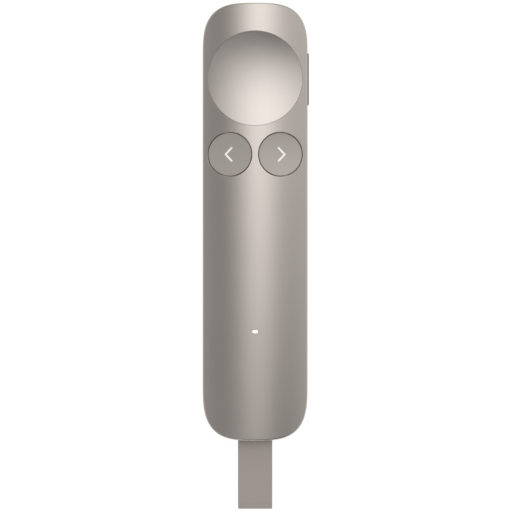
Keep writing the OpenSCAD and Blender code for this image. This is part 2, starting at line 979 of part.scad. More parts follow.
module motor_case() {
    color(steel)
        translate([0, motor_y, board_top])
            difference() {
                rod(motor_d / 2, 0, motor_h);
                rod(motor_d / 2 - motor_wall, motor_wall, motor_h - motor_wall);
            }
}

module motor_shaft() {
    color(steel)
        translate([0, motor_y, board_top])
            rod(motor_shaft_r, motor_wall, motor_h - motor_wall);
}

module motor_rotor() {
    low = motor_wall + rotor_gap;
    high = motor_h - motor_wall - rotor_gap;
    color(copper)
        translate([0, motor_y, board_top])
            difference() {
                union() {
                    rod(rotor_hub_r, low, high);
                    intersection() {
                        rod(motor_d / 2 - motor_wall - rotor_gap, low, high);
                        block([-motor_d, 0, low], [motor_d, motor_d, high]);
                    }
                }
                rod(motor_shaft_r + rotor_fit, 0, motor_h);
            }
}

// places its children on the laser's axis, with +Z towards the back of the barrel
module laser_axis(y) {
    translate([0, y, laser_z])
        rotate([90, 0, 0])
            children();
}

module laser_barrel() {
    color(brass)
        laser_axis(barrel_front)
            difference() {
                rod(barrel_d / 2, 0, barrel_front - barrel_back);
                rod(barrel_d / 2 - barrel_wall, -past, body_h);
            }
}

module laser_lens() {
    color(clear)
        laser_axis(barrel_front - lens_t / 2)
            intersection() {
                rod(barrel_d / 2 - barrel_wall - screw_fit, 0, lens_t);
                translate([0, 0, lens_r])
                    sphere(r = lens_r);
            }
}

module laser_diode() {
    color(brass)
        laser_axis(barrel_back + diode_can_len) {
            rod(barrel_d / 2 - barrel_wall - screw_fit, 0, diode_can_len);
            for (side = [-1, 1])
                translate([side * diode_pin_pitch, board_top + diode_pin_r - laser_z, 0])
                    rod(diode_pin_r, 0, diode_can_len + diode_pin_len);
        }
}

module laser_window() {
    color(black)
        laser_axis(barrel_front + window_t)
            rod(window_d / 2, 0, window_t);
}

module port_shell() {
    color(steel) {
        difference() {
            flat_bar_y(port_w, port_h, port_mouth, port_back, port_z);
            flat_bar_y(port_w - 2 * port_wall, port_h - 2 * port_wall, port_mouth - past, port_back + past, port_z);
        }
        for (side = [-1, 1])
            translate([side * (port_w / 2 + port_ear / 2 - port_wall / 2), port_back - 2 * port_ear_l,
                    board_top + port_ear_t / 2])
                cube([port_ear, port_ear_l, port_ear_t], center = true);
    }
}

module port_tongue() {
    base = port_back - port_base;
    color(black) {
        flat_bar_y(port_w - 2 * port_wall, port_h - 2 * port_wall, base, port_back, port_z);
        block([-tongue_w / 2, base - tongue_len, port_z - tongue_t / 2],
            [tongue_w / 2, base + hair, port_z + tongue_t / 2]);
    }
}

module receiver_dock() {
    color(black)
        difference() {
            block([-dock_w / 2, dock_front, cover_wall], [dock_w / 2, dock_back, dock_top]);
            mouth(dock_front - past, receiver_front + dock_gap);
            flat_bar_y(port_w + 2 * run_gap, port_h + 2 * run_gap, dock_front, dock_back + past, port_z);
        }
}

// one half of the receiver's housing, split at the plug's middle
module receiver_half(side) {
    inner_w = receiver_w - 2 * receiver_wall;
    inner_h = receiver_h - 2 * receiver_wall;
    difference() {
        bar_y(round_rect(receiver_w, receiver_h, housing_r), receiver_end, receiver_front, port_z);
        block([-body_w, tail_y - past, port_z + (side > 0 ? -body_h : 0)],
            [body_w, nose_y, port_z + (side > 0 ? 0 : body_h)]);
        block([-strap_slot_w / 2, tail_y, port_z - strap_slot_h / 2],
            [strap_slot_w / 2, receiver_end + tail_room, port_z + strap_slot_h / 2]);
        block([-inner_w / 2, receiver_end + tail_room + receiver_wall, port_z - inner_h / 2],
            [inner_w / 2, receiver_front - receiver_wall, port_z + inner_h / 2]);
        flat_bar_y(plug_w, plug_h, receiver_front - plug_root, receiver_front + past, port_z);
        strap_pin_solid(screw_fit);
    }
}

module receiver_top() {
    color(cap)
        receiver_half(1);
}

module receiver_bottom() {
    color(cap)
        receiver_half(-1);
}

module receiver_board() {
    color(board)
        block([-receiver_w / 2 + receiver_wall + run_gap, receiver_end + tail_room + receiver_wall + run_gap,
                port_z - receiver_board_t / 2],
            [receiver_w / 2 - receiver_wall - run_gap, receiver_front - plug_root, port_z + receiver_board_t / 2]);
}

module receiver_chip() {
    chip = 3;
    color(black)
        translate([-chip / 2, receiver_end + tail_room + receiver_wall + 2 * run_gap, port_z + receiver_board_t / 2])
            cube([chip, chip, chip_h]);
}

module plug_shell() {
    color(steel)
        difference() {
            flat_bar_y(plug_w, plug_h, receiver_front - plug_root, receiver_front + plug_len, port_z);
            flat_bar_y(plug_w - 2 * plug_wall, plug_h - 2 * plug_wall,
                receiver_front - plug_root - past, receiver_front + plug_len + past, port_z);
        }
}

module plug_core() {
    color(black)
        difference() {
            flat_bar_y(plug_w - 2 * plug_wall, plug_h - 2 * plug_wall,
                receiver_front - plug_root, receiver_front + plug_len - run_gap, port_z);
            block([-slot_w / 2, receiver_front + plug_len - slot_depth, port_z - slot_h / 2],
                [slot_w / 2, receiver_front + plug_len + past, port_z + slot_h / 2]);
        }
}

module strap_pin_solid(grow) {
    reach = strap_slot_w / 2 + pin_grip + grow;
    translate([-reach, pin_y, port_z])
        rotate([0, 90, 0])
            rod(strap_pin_r + grow, 0, 2 * reach);
}

module strap_pin() {
    color(steel)
        strap_pin_solid(0);
}

// side view of the strap's loop, drawn with its round ends at the pin and at the bow
module strap_outline(r) {
    translate([strap_bow_y, -r])
        square([pin_y - strap_bow_y, 2 * r]);
    for (y = [strap_bow_y, pin_y])
        translate([y, 0])
            circle(r = r);
}

module strap_loop() {
    color(band)
        translate([-strap_w / 2, 0, port_z])
            rotate([90, 0, 90])
                linear_extrude(strap_w)
                    difference() {
                        strap_outline(strap_out);
                        strap_outline(strap_in);
                    }
}

module chassis_screws() {
    color(steel)
        at_screws()
            difference() {
                union() {
                    rod(screw_head_r, board_z - screw_head_h, board_z);
                    rod(screw_r, board_z - hair, board_z + screw_len);
                }
                translate([0, 0, board_z - screw_head_h - past])
                    cylinder(r = drive_r, h = drive_depth + past, $fn = 6);
            }
}

front_shell();
back_cover();
chassis();
main_board();
radio_chip();
radio_shield();
motion_sensor();
charging_chip();
antenna();
pointer_button();
pointer_plunger();
pointer_switch();
back_button();
back_chevron();
back_plunger();
back_switch();
next_button();
next_chevron();
next_plunger();
next_switch();
side_key();
side_plunger();
side_switch();
status_lamp();
light_pipe();
battery_cell();
battery_pad();
battery_safety_board();
battery_connector();
battery_lead_red();
battery_lead_black();
motor_case();
motor_shaft();
motor_rotor();
laser_barrel();
laser_diode();
laser_lens();
laser_window();
port_shell();
port_tongue();
receiver_dock();
receiver_top();
receiver_bottom();
receiver_board();
receiver_chip();
plug_shell();
plug_core();
strap_pin();
strap_loop();
chassis_screws();
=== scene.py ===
# Dresses the wireless presentation clicker: satin metal front, moulded back, dished pointer button,
# flat page buttons, side key, status window, receiver and strap, and finishes for the inner parts.
import math
import bpy
import numpy as np
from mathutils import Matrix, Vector
from mathutils.geometry import delaunay_2d_cdt
from mathutils.kdtree import KDTree


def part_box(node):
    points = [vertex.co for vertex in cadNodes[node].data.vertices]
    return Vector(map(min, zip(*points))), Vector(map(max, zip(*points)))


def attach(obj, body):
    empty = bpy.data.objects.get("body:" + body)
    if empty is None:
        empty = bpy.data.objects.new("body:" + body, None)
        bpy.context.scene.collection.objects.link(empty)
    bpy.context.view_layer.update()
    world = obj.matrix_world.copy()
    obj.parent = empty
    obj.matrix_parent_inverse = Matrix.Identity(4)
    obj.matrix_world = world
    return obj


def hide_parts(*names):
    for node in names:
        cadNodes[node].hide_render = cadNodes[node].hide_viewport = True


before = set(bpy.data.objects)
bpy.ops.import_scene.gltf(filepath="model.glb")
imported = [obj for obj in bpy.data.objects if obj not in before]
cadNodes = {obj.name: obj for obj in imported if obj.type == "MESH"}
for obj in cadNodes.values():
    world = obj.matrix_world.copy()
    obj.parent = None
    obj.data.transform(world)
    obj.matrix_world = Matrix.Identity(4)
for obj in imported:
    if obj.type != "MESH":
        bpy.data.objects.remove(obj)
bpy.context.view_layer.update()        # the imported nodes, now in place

mm = 0.001
tiny = 1e-9         # guards against a division by nothing
fine = 1e-6         # smallest angle or distance that counts
up = Vector((0, 0, 1))


def boxMm(node):
    low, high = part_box(node)
    return low / mm, high / mm


# form of the body, in millimetres
shellLow, shellHigh = boxMm("front_shell")
body = {
    "half": shellHigh.x,
    "nose": shellHigh.y,
    "tail": shellLow.y,
    "ridge": shellHigh.z,
    "seam": shellLow.z,
    "crownRadius": 55,
    "edgeRound": 0.5,   # rounding from the sides to the front
    "backRound": 4.8,   # rounding from the sides to the back
    "noseRound": 16,
    "tailRound": 16.9,
    "endPower": 3.2,    # squareness of the ends, 2 is an ellipse
    "spacing": 0.6,     # of the points along the outline
    "endSteps": 600,    # that each end is measured with
}


def crownAt(x):
    return body["ridge"] - body["crownRadius"] + math.sqrt(body["crownRadius"] ** 2 - x * x)


def onCrown(p, sink=0.0):
    return Vector((p.x, p.y, crownAt(p.x) - sink))


def crownNormal(p):
    lean = p.x / body["crownRadius"]
    return Vector((lean, 0, math.sqrt(1 - lean * lean)))


def endPoint(turn, depth, middle, way):
    # a point on a rounded end, and the way out of the body there
    power = body["endPower"]
    x = math.copysign(abs(math.cos(turn)) ** (2 / power), math.cos(turn))
    y = max(math.sin(turn), 0) ** (2 / power)
    out = Vector((math.copysign(abs(x) ** (power - 1), x) / body["half"], way * y ** (power - 1) / depth))
    return Vector((x * body["half"], middle + way * y * depth)), out.normalized()


def walkOutline():
    # evenly spaced points round the body, from the middle of its left side by way of the tail
    start = (Vector((-body["half"], 0)), Vector((-1, 0)))
    turns = [math.pi * i / body["endSteps"] for i in range(body["endSteps"] + 1)]
    walk = [start]
    tailMiddle = body["tail"] + body["tailRound"]
    noseMiddle = body["nose"] - body["noseRound"]
    walk += [endPoint(turn, body["tailRound"], tailMiddle, -1) for turn in reversed(turns)]
    walk += [endPoint(turn, body["noseRound"], noseMiddle, 1) for turn in turns]
    walk.append(start)
    reach = [0]
    for (a, _), (b, _) in zip(walk, walk[1:]):
        reach.append(reach[-1] + (b - a).length)
    count = 2 * round(reach[-1] / body["spacing"] / 2)
    step = reach[-1] / count
    points, outs, k = [], [], 0
    for i in range(count):
        while reach[k + 1] < i * step:
            k += 1
        share = (i * step - reach[k]) / max(reach[k + 1] - reach[k], tiny)
        points.append(walk[k][0].lerp(walk[k + 1][0], share))
        outs.append(walk[k][1].lerp(walk[k + 1][1], share).normalized())
    return points, outs, step


rimPoints, rimOuts, rimStep = walkOutline()
rimCount = len(rimPoints)
rimLength = rimCount * rimStep
rimClear = 0.3 * rimStep  # room kept free beside the edges of the unrolled sides


def rimAt(s):
    i, share = divmod(s / rimStep, 1)
    a, b = int(i) % rimCount, (int(i) + 1) % rimCount
    return rimPoints[a].lerp(rimPoints[b], share), rimOuts[a].lerp(rimOuts[b], share).normalized()


def lengthNear(x, y):
    # how far round the outline the point nearest to (x, y) lies
    return rimStep * min(range(rimCount), key=lambda i: (rimPoints[i] - Vector((x, y))).length)


def circleWays(count):
    return [(math.cos(2 * math.pi * i / count), math.sin(2 * math.pi * i / count)) for i in range(count)]


def circleLoop(x, y, radius, count):
    return [Vector((x + radius * u, y + radius * v)) for u, v in circleWays(count)]


def pillLoop(x, y, width, height, count=12):
    # a flat-sided loop with full round ends, longer along its first direction
    r = height / 2
    reach = width / 2 - r
    loop = []
    for side in (1, -1):
        for i in range(count + 1):
            turn = math.pi * (i / count - 0.5) + (0 if side > 0 else math.pi)
            loop.append(Vector((x + side * reach + r * math.cos(turn), y + r * math.sin(turn))))
    return loop


def splitLoop(loop, step):
    # more points along a loop's long straight edges
    loop = [Vector(p) for p in loop]
    finer = []
    for a, b in zip(loop, loop[1:] + loop[:1]):
        parts = max(1, round((b - a).length / step))
        finer += [a.lerp(b, i / parts) for i in range(parts)]
    return finer


def insideLoops(points, loops):
    odd = np.zeros(len(points), bool)
    x, y = points[:, 0], points[:, 1]
    for loop in loops:
        for a, b in zip(loop, loop[1:] + loop[:1]):
            if a.y != b.y:
                odd ^= ((a.y > y) != (b.y > y)) & (x < a.x + (y - a.y) * (b.x - a.x) / (b.y - a.y))
    return odd


def fillLoops(loops, inner=(), clear=0):
    # flat triangles between closed loops, using the inner points that are clear of the loops
    corners, edges = [], []
    for loop in loops:
        first = len(corners)
        corners += [Vector(p) for p in loop]
        edges += [(first + i, first + (i + 1) % len(loop)) for i in range(len(loop))]
    if len(inner):
        near = KDTree(len(corners))
        for i, p in enumerate(corners):
            near.insert((p.x, p.y, 0), i)
        near.balance()
        held = insideLoops(np.array([tuple(p) for p in inner]), loops)
        corners += [Vector(p) for p, keep in zip(inner, held)
                    if keep and near.find((p[0], p[1], 0))[2] > clear]
    flat, _, triangles, *_ = delaunay_2d_cdt(corners, edges, [], 0, fine)
    middles = np.array([tuple((flat[a] + flat[b] + flat[c]) / 3) for a, b, c in triangles])
    kept = []
    for (a, b, c), keep in zip(triangles, insideLoops(middles, loops)):
        if keep:
            turn = (flat[b] - flat[a]).cross(flat[c] - flat[a])
            kept.append((a, b, c) if turn > 0 else (a, c, b))
    return flat, kept


rowShare = 0.866    # height of an even triangle, as a share of its side


def gridPoints(low, high, step):
    # staggered rows of points over a rectangle
    rows = int((high[1] - low[1]) / (step * rowShare)) + 1
    columns = int((high[0] - low[0]) / step) + 1
    return [(low[0] + (column + 0.5 * (row % 2)) * step, low[1] + row * step * rowShare)
            for row in range(rows) for column in range(columns)]


def discPoints(radius, step):
    return gridPoints((-radius, -radius), (radius, radius), step)


def bodyPoints(step):
    return gridPoints((-body["half"], body["tail"]), (body["half"], body["nose"]), step)


def turnBetween(a, b, share):
    # a direction part of the way from one to another
    angle = a.angle(b, 0)
    if angle < fine:
        return a.copy()
    return (a * math.sin((1 - share) * angle) + b * math.sin(share * angle)) / math.sin(angle)


# a patch is a list of points, its faces, the ways out at the points and the points under them
def laidPatch(filled, at, outAt=None):
    # flat triangles laid on a surface
    flat, faces = filled
    return [at(p) for p in flat], faces, [outAt(p) for p in flat] if outAt else None, None


def endPatch(ring, out):
    # one face that closes the low end of a wall
    return ring, [tuple(reversed(range(len(ring))))], [out] * len(ring), None


def bandPatch(rings, normals=None, unders=None, closed=True):
    # quads between rings of equal count; the body lies to the left of a ring that runs up to the next
    count = len(rings[0])
    faces = []
    for row in range(len(rings) - 1):
        for i in range(count if closed else count - 1):
            a, b = row * count + i, row * count + (i + 1) % count
            faces.append((a, b, b + count, a + count))
    flatten = lambda rows: [p for row in rows for p in row] if rows else None
    return flatten(rings), faces, flatten(normals), flatten(unders)


def flipped(patch):
    points, faces, normals, unders = patch
    return points, [tuple(reversed(face)) for face in faces], normals, unders


def roundRings(points, normals, towards, radius, steps=4):
    # rings of a rounded edge that leaves a surface and turns towards a direction
    rings, outs = [], []
    for k in range(steps + 1):
        turned = [turnBetween(n, t, k / steps) for n, t in zip(normals, towards)]
        rings.append([p + radius * (d - n) for p, d, n in zip(points, turned, normals)])
        outs.append(turned)
    return rings, outs


weldReach = 0.002   # mm, points nearer than this are one
thinFace = 1e-12    # a face smaller than this points nowhere


def faceNormal(points, face):
    # the way a face points, also when its first three corners lie in line
    a, b, c = (points[k] for k in face[:3])
    out = (b - a).cross(c - a)
    if out.length < thinFace and len(face) > 3:
        out = (points[face[2]] - a).cross(points[face[3]] - a)
    return out.normalized() if out.length > thinFace else up.copy()


def joinPatches(patches, wall=None):
    # welds patches into one mesh; with a wall, the points under them make it a closed shell
    spots = [Vector(p) for patch in patches for p in patch[0]]
    near = KDTree(len(spots))
    for k, p in enumerate(spots):
        near.insert(p, k)
    near.balance()
    points, unders, faces, corners, index, first = [], [], [], [], {}, 0
    for patch, shapes, outs, below in patches:
        for k in range(len(patch)):
            if first + k not in index:
                p = spots[first + k]
                for _, other, _ in near.find_range(p, weldReach):
                    index.setdefault(other, len(points))
                points.append(p)
                unders.append(Vector(below[k]) if below else p - (wall or 0) * Vector(outs[k]) if outs else p)
        for shape in shapes:
            kept = [k for i, k in enumerate(shape) if index[first + k] != index[first + shape[i - 1]]]
            if len(kept) > 2:
                ring = [index[first + k] for k in kept]
                faces.append(ring)
                corners += [outs[k] for k in kept] if outs else [faceNormal(points, ring)] * len(ring)
        first += len(patch)
    if wall:
        count = len(points)
        points += unders
        used = {(a, b) for ring in faces for a, b in zip(ring, ring[1:] + ring[:1])}
        inner = [[k + count for k in reversed(ring)] for ring in faces]
        rims = [[b, a, a + count, b + count] for a, b in used if (b, a) not in used]
        for ring in inner + sorted(rims):
            faces.append(ring)
            corners += [faceNormal(points, ring)] * len(ring)
    return points, faces, corners


def makePiece(name, solids, finish, rides, node, wall=None):
    # one object from closed solids, each a list of patches; the wall is the first one's
    points, faces, corners = [], [], []
    for solid in solids:
        more = joinPatches(solid, wall)
        faces += [[k + len(points) for k in face] for face in more[1]]
        points += more[0]
        corners += more[2]
        wall = None
    mesh = bpy.data.meshes.new(name)
    mesh.from_pydata([p * mm for p in points], [], faces)
    mesh.shade_smooth()
    mesh.normals_split_custom_set([tuple(out) for out in corners])
    mesh.materials.append(finishes[finish])
    piece = bpy.data.objects.new(name, mesh)
    bpy.context.scene.collection.objects.link(piece)
    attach(piece, rides)
    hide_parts(node)
    print("made", name, len(points), "points")


def turnedPatches(profile, place, count=32):
    # a solid turned round an axis; the profile runs from its low middle, out and up to its high middle
    ways = circleWays(count)
    patches = []
    for (r1, h1), (r2, h2) in zip(profile, profile[1:]):
        away, rise = Vector((h2 - h1, r1 - r2)).normalized()
        rings = [[place(r * x, r * y, h) for x, y in ways] for r, h in ((r1, h1), (r2, h2))]
        outs = [place(away * x, away * y, rise) - place(0, 0, 0) for x, y in ways]
        patches.append(bandPatch(rings, [outs, outs]))
    return patches


def rodPatches(x, y, radius, low, high, hole=0.0, count=32):
    # an upright rod, or a tube if it has a hole
    place = lambda u, v, h: Vector((x + u, y + v, h))
    profile = [(hole, low), (radius, low), (radius, high), (hole, high)]
    return turnedPatches(profile + [(hole, low)] if hole else profile, place, count)


def blockPatches(low, high):
    x, y, z = zip(low, high)
    ring = [(x[0], y[0]), (x[1], y[0]), (x[1], y[1]), (x[0], y[1])]
    points = [Vector((*p, h)) for h in z for p in ring]
    faces = [(3, 2, 1, 0), (4, 5, 6, 7)] + [(k, (k + 1) % 4, (k + 1) % 4 + 4, k + 4) for k in range(4)]
    return [(points, faces, None, None)]


def feed(socket, value):
    # a value, or a link from another node
    if isinstance(value, bpy.types.NodeSocket):
        socket.id_data.links.new(value, socket)
    else:
        socket.default_value = value


def setSockets(node, sockets):
    # a blank in the name of a socket is written as _
    for key, value in sockets.items():
        socket = key.replace("_", " ")
        if socket in node.inputs:
            feed(node.inputs[socket], value)
        else:
            setattr(node, key, value)
    return node


def addNode(owner, kind, *sources, **sockets):
    # the sources go into the sockets in their order
    node = setSockets(owner.node_tree.nodes.new(kind), sockets)
    for source, socket in zip(sources, node.inputs):
        feed(socket, source)
    return node


def addMath(owner, operation, *sources, **settings):
    return addNode(owner, "ShaderNodeMath", *sources, operation=operation, **settings).outputs[0]


def newFinish(name, colour, metallic, roughness, **sockets):
    finish = bpy.data.materials.new(name)
    finish.use_nodes = True
    finish.diffuse_color = (*colour, 1)
    shader = finish.node_tree.nodes["Principled BSDF"]
    setSockets(shader, {"Base_Color": (*colour, 1), "Metallic": metallic, "Roughness": roughness, **sockets})
    return finish


fineNoise = {"detail": 3, "roughness": 0.6}
slowNoise = {
    "size": 20.0,       # mm, of the slow changes of colour
    "detail": 4,
    "roughness": 0.55,
    "marks": (0.3, 0.7),
}
smoothest = 0.02    # least roughness


def addNoise(finish, place, size, noise):
    return addNode(finish, "ShaderNodeTexNoise", Vector=place, Scale=1 / (size * mm), Detail=noise["detail"],
                   Roughness=noise["roughness"]).outputs["Fac"]


def addGrain(finish, size, depth, tint, sheen):
    # fine bump of a size and depth in millimetres; shares by which colour and roughness change
    shader = finish.node_tree.nodes["Principled BSDF"]
    place = addNode(finish, "ShaderNodeTexCoord").outputs["Object"]
    grain = addNoise(finish, place, size, fineNoise)
    bump = addNode(finish, "ShaderNodeBump", Height=grain, Strength=1, Distance=depth * mm)
    rough = shader.inputs["Roughness"].default_value
    span = addNode(finish, "ShaderNodeMapRange", grain, To_Min=max(rough - sheen, smoothest),
                   To_Max=rough + sheen)
    setSockets(shader, {"Normal": bump.outputs["Normal"], "Roughness": span.outputs["Result"]})
    if tint:
        base = shader.inputs["Base Color"].default_value[:3]
        cloud = addNoise(finish, place, slowNoise["size"], slowNoise)
        ramp = addNode(finish, "ShaderNodeValToRGB", Fac=cloud)
        for mark, spot, share in zip(ramp.color_ramp.elements, slowNoise["marks"], (1 - tint, 1 + tint)):
            mark.position = spot
            mark.color = (*[min(c * share, 1) for c in base], 1)
        setSockets(shader, {"Base_Color": ramp.outputs["Color"]})
    return finish


sTail = lengthNear(0, body["tail"])
sNose = lengthNear(0, body["nose"])


def loopOuts(loop):
    # ways out of a loop that runs anticlockwise
    outs = []
    for before, after in zip(loop[-1:] + loop[:-1], loop[1:] + loop[:1]):
        along = (after - before).normalized()
        outs.append(Vector((along.y, -along.x)))
    return outs


def wayAt(degrees):
    turn = math.radians(degrees)
    return math.cos(turn), math.sin(turn)


def arcPoints(x, y, radius, low, high, steps=6):
    ways = [wayAt(low + (high - low) * i / steps) for i in range(steps + 1)]
    return [Vector((x + radius * u, y + radius * v)) for u, v in ways]


def capSides(starts, outs, sides, rounding, low):
    # the soft rim, the wall and the underside of a cap
    rings, turned = roundRings(starts, outs, sides, rounding)
    foot = [Vector((p.x, p.y, low)) for p in rings[-1]]
    wall = bandPatch([foot, rings[-1]], [sides, sides])
    return [flipped(bandPatch(rings, turned)), wall, endPatch(foot, -up)]


# pointer button, a shallow bowl with a skirt, guide posts and four tabs
pointerLow, pointerHigh = boxMm("pointer_button")
pointer = {
    "radius": pointerHigh.x,
    "y": (pointerLow.y + pointerHigh.y) / 2,
    "low": pointerLow.z,
    "gap": 0.04,
    "depth": 0.85,      # of the dish below the ridge
    "wall": 1.1,
    "skirt": 1.2,
    "foot": 8.9,        # height of the skirt's low edge
    "rimRound": 0.05,
    "holeRound": 0.04,  # soft edge of the shell round the button
    "step": 0.85,
    "clear": 0.45,      # share of a step kept free along the rim
    "turns": 168,
    "postRadius": 1.6,
    "postIn": 0.5,      # how far the post reaches into the wall
    "guideRadius": 0.9,
    "guideIn": 3.2,     # from the rim to the guide posts
    "guideTurns": 24,
    "guidePlaces": (45, 135, 225, 315),  # degrees round the button
    "tabSide": 5,
    "tabWidth": 4,
    "tabIn": 0.6,       # from the rim in to the root of a tab
    "tabReach": 0.8,
    "tabThick": 0.9,
    "tabDrop": 1.2,     # of a tab's top below the crown
}
bowl = {"bottom": body["ridge"] - pointer["depth"]}
sideDrop = bowl["bottom"] - crownAt(pointer["radius"])
bowl["along"] = (pointer["radius"] ** 2 / pointer["depth"] + pointer["depth"]) / 2
bowl["across"] = (pointer["radius"] ** 2 / sideDrop + sideDrop) / 2
postTop = boxMm("pointer_plunger")[1].z


def bowlAt(x, y):
    # height and way out of the dish at a place counted from its middle: hollow along the body, crowned across
    bend = math.sqrt(bowl["along"] ** 2 - y * y)
    reach = bowl["across"] + bowl["along"] - bend
    rise = math.sqrt(reach * reach - x * x)
    out = Vector((x / rise, -reach * y / (rise * bend), 1)).normalized()
    return bowl["bottom"] - bowl["across"] + rise, out


def rimStarts(ways, radius, rounding, outAt):
    # where a flat or hollow face gives way to the soft rim of a round cap
    starts = []
    for way in ways:
        out = outAt(radius * way)
        starts.append(radius * way - rounding * (way - out.xy))
    return starts


def buildPointer():
    r, y, wall = pointer["radius"], pointer["y"], pointer["wall"]
    ways = [Vector(way) for way in circleWays(pointer["turns"])]
    lift = lambda p: Vector((p.x, y + p.y, bowlAt(*p)[0]))
    outAt = lambda p: bowlAt(*p)[1]
    shrink = 1 - pointer["skirt"] / r
    under = lambda p, z: Vector((shrink * p.x, y + shrink * (p.y - y), z))
    starts = rimStarts(ways, r, pointer["rimRound"], outAt)
    filled = fillLoops([starts], discPoints(r, pointer["step"]), pointer["clear"] * pointer["step"])
    face, faces, normals, _ = laidPatch(filled, lift, outAt)
    dish = (face, faces, normals, [under(p, p.z - wall) for p in face])
    ring = [lift(p) for p in starts]
    sides = [way.to_3d() for way in ways]
    rings, turned = roundRings(ring, [outAt(p) for p in starts], sides, pointer["rimRound"])
    unders = [[under(q, p.z - wall) for p, q in zip(ring, level)] for level in rings]
    rim = flipped(bandPatch(rings, turned, unders))
    foot = [Vector((p.x, p.y, pointer["foot"])) for p in rings[-1]]
    skirt = bandPatch([foot, rings[-1]], [sides, sides], [[under(p, p.z) for p in foot], unders[-1]])
    # the post over the switch, the guide posts, and the tabs that keep the button in
    solids = [[dish, rim, skirt],
              rodPatches(0, y, pointer["postRadius"], postTop, bowl["bottom"] - pointer["postIn"])]
    for turn in pointer["guidePlaces"]:
        u, v = [(r - pointer["guideIn"]) * part for part in wayAt(turn)]
        solids.append(rodPatches(u, y + v, pointer["guideRadius"], pointer["low"], bowlAt(u, v)[0] - wall / 2,
                                 count=pointer["guideTurns"]))
    half = pointer["tabWidth"] / 2
    high = crownAt(pointer["tabSide"] + half) - pointer["tabDrop"]
    near, far = (math.sqrt((r + reach) ** 2 - (pointer["tabSide"] + half) ** 2)
                 for reach in (-pointer["tabIn"], pointer["tabReach"]))
    for x in (-pointer["tabSide"], pointer["tabSide"]):
        for side in (-1, 1):
            a, b = sorted((y + side * near, y + side * far))
            solids.append(blockPatches((x - half, a, high - pointer["tabThick"]), (x + half, b, high)))
    makePiece("pointerButton", solids, "dishSatin", "pointer_button", "pointer_button", wall)


# page buttons, round caps that lean with the crown and are faintly hollow, each with an inlaid chevron
buttonLow, buttonHigh = boxMm("next_button")
page = {
    "x": (buttonLow.x + buttonHigh.x) / 2,
    "y": (buttonLow.y + buttonHigh.y) / 2,
    "radius": (buttonHigh.x - buttonLow.x) / 2,
    "gap": 0.17,
    "sink": 0.05,       # of the face's rim below the crown
    "hollow": 130,      # radius of the faint hollow along the body
    "rimRound": 0.14,
    "thick": 1.4,
    "turns": 96,
    "step": 0.9,
    "clear": 0.3,
    "postIn": 0.45,
    "tabWidth": 4,
    "tabReach": 0.8,
    "tabThick": 0.9,
    "tabDrop": 1.2,
}
chevron = {
    "width": 2,
    "height": 4.2,
    "stroke": 0.55,
    "deep": 0.3,
    "tip": 1.3,         # from the middle of the button
    "inset": 0.006,     # the fine gap in its pocket
    "rimRound": 0.03,
    "rimSteps": 3,
    "spacing": 0.5,     # of the points along the pocket
}
page["inner"] = crownAt(page["x"] - page["radius"])
page["outer"] = crownAt(page["x"] + page["radius"])
page["lean"] = math.atan((page["inner"] - page["outer"]) / (2 * page["radius"]))


class PageFace:
    # the leaning face of one page button: x runs out to the side, y along the body, and w up from the face
    def __init__(self, side):
        height = (page["inner"] + page["outer"]) / 2 - page["sink"]
        self.centre = Vector((side * page["x"], page["y"], height))
        self.across = Vector((math.cos(page["lean"]), 0, -side * math.sin(page["lean"])))
        self.out = Vector((side * math.sin(page["lean"]), 0, math.cos(page["lean"])))

    def at(self, p, w=0.0):
        w += (p.y ** 2 - page["radius"] ** 2) / (2 * page["hollow"])
        return self.centre + p.x * self.across + Vector((0, p.y, 0)) + w * self.out

    def sunk(self, p):
        return self.at(p, -chevron["deep"])

    def outAt(self, p):
        return (self.out - Vector((0, p.y / page["hollow"], 0))).normalized()


def chevronLoop(side, inset=0.0):
    # two strokes that meet in a mitre, with square ends
    slant = math.atan(chevron["height"] / 2 / chevron["width"])
    mitre = chevron["stroke"] / 2 / math.sin(slant)
    end = Vector((chevron["tip"] - chevron["width"], chevron["height"] / 2))
    half = chevron["stroke"] / 2 * Vector((math.sin(slant), math.cos(slant)))
    arm = [end + half, end - half]
    loop = [Vector((chevron["tip"] + mitre, 0)), *arm, Vector((chevron["tip"] - mitre, 0))]
    loop += [Vector((p.x, -p.y)) for p in reversed(arm)]
    loop = [Vector((side * p.x, p.y)) for p in loop]
    if side < 0:
        loop.reverse()
    moved = []
    for before, p, after in zip(loop[-1:] + loop[:-1], loop, loop[1:] + loop[:1]):
        a, b = (p - before).normalized(), (after - p).normalized()
        left = Vector((-a.y - b.y, a.x + b.x)).normalized()
        moved.append(p + left * inset / left.dot(Vector((-a.y, a.x))))
    return moved


def buildPage(side, word):
    place = PageFace(side)
    r, y = page["radius"], page["y"]
    ways = [Vector(way) for way in circleWays(page["turns"])]
    starts = rimStarts(ways, r, page["rimRound"], place.outAt)
    starts = [Vector((p.x / math.cos(page["lean"]), p.y)) for p in starts]
    cut = splitLoop(chevronLoop(side), chevron["spacing"])
    filled = fillLoops([starts, cut], discPoints(r, page["step"]), page["clear"] * page["step"])
    solid = [laidPatch(filled, place.at, place.outAt),
             laidPatch(fillLoops([cut]), place.sunk, place.outAt),
             flipped(bandPatch([[place.sunk(p) for p in cut], [place.at(p) for p in cut]]))]
    low = page["outer"] - page["thick"]
    solid += capSides([place.at(p) for p in starts], [place.outAt(p) for p in starts],
                      [way.to_3d() for way in ways], page["rimRound"], low)
    # the post over the switch, and the tab that keeps the button in
    x, half, reach = side * page["x"], page["tabWidth"] / 2, r + page["tabReach"]
    high = crownAt(page["x"] + half) - page["tabDrop"]
    post = rodPatches(x, y, pointer["postRadius"], postTop, low + page["postIn"])
    tab = blockPatches((x - half, y - reach, high - page["tabThick"]), (x + half, y + reach, high))
    makePiece(word + "Button", [solid, post, tab], "capSatin", word + "_page_button", word + "_button")
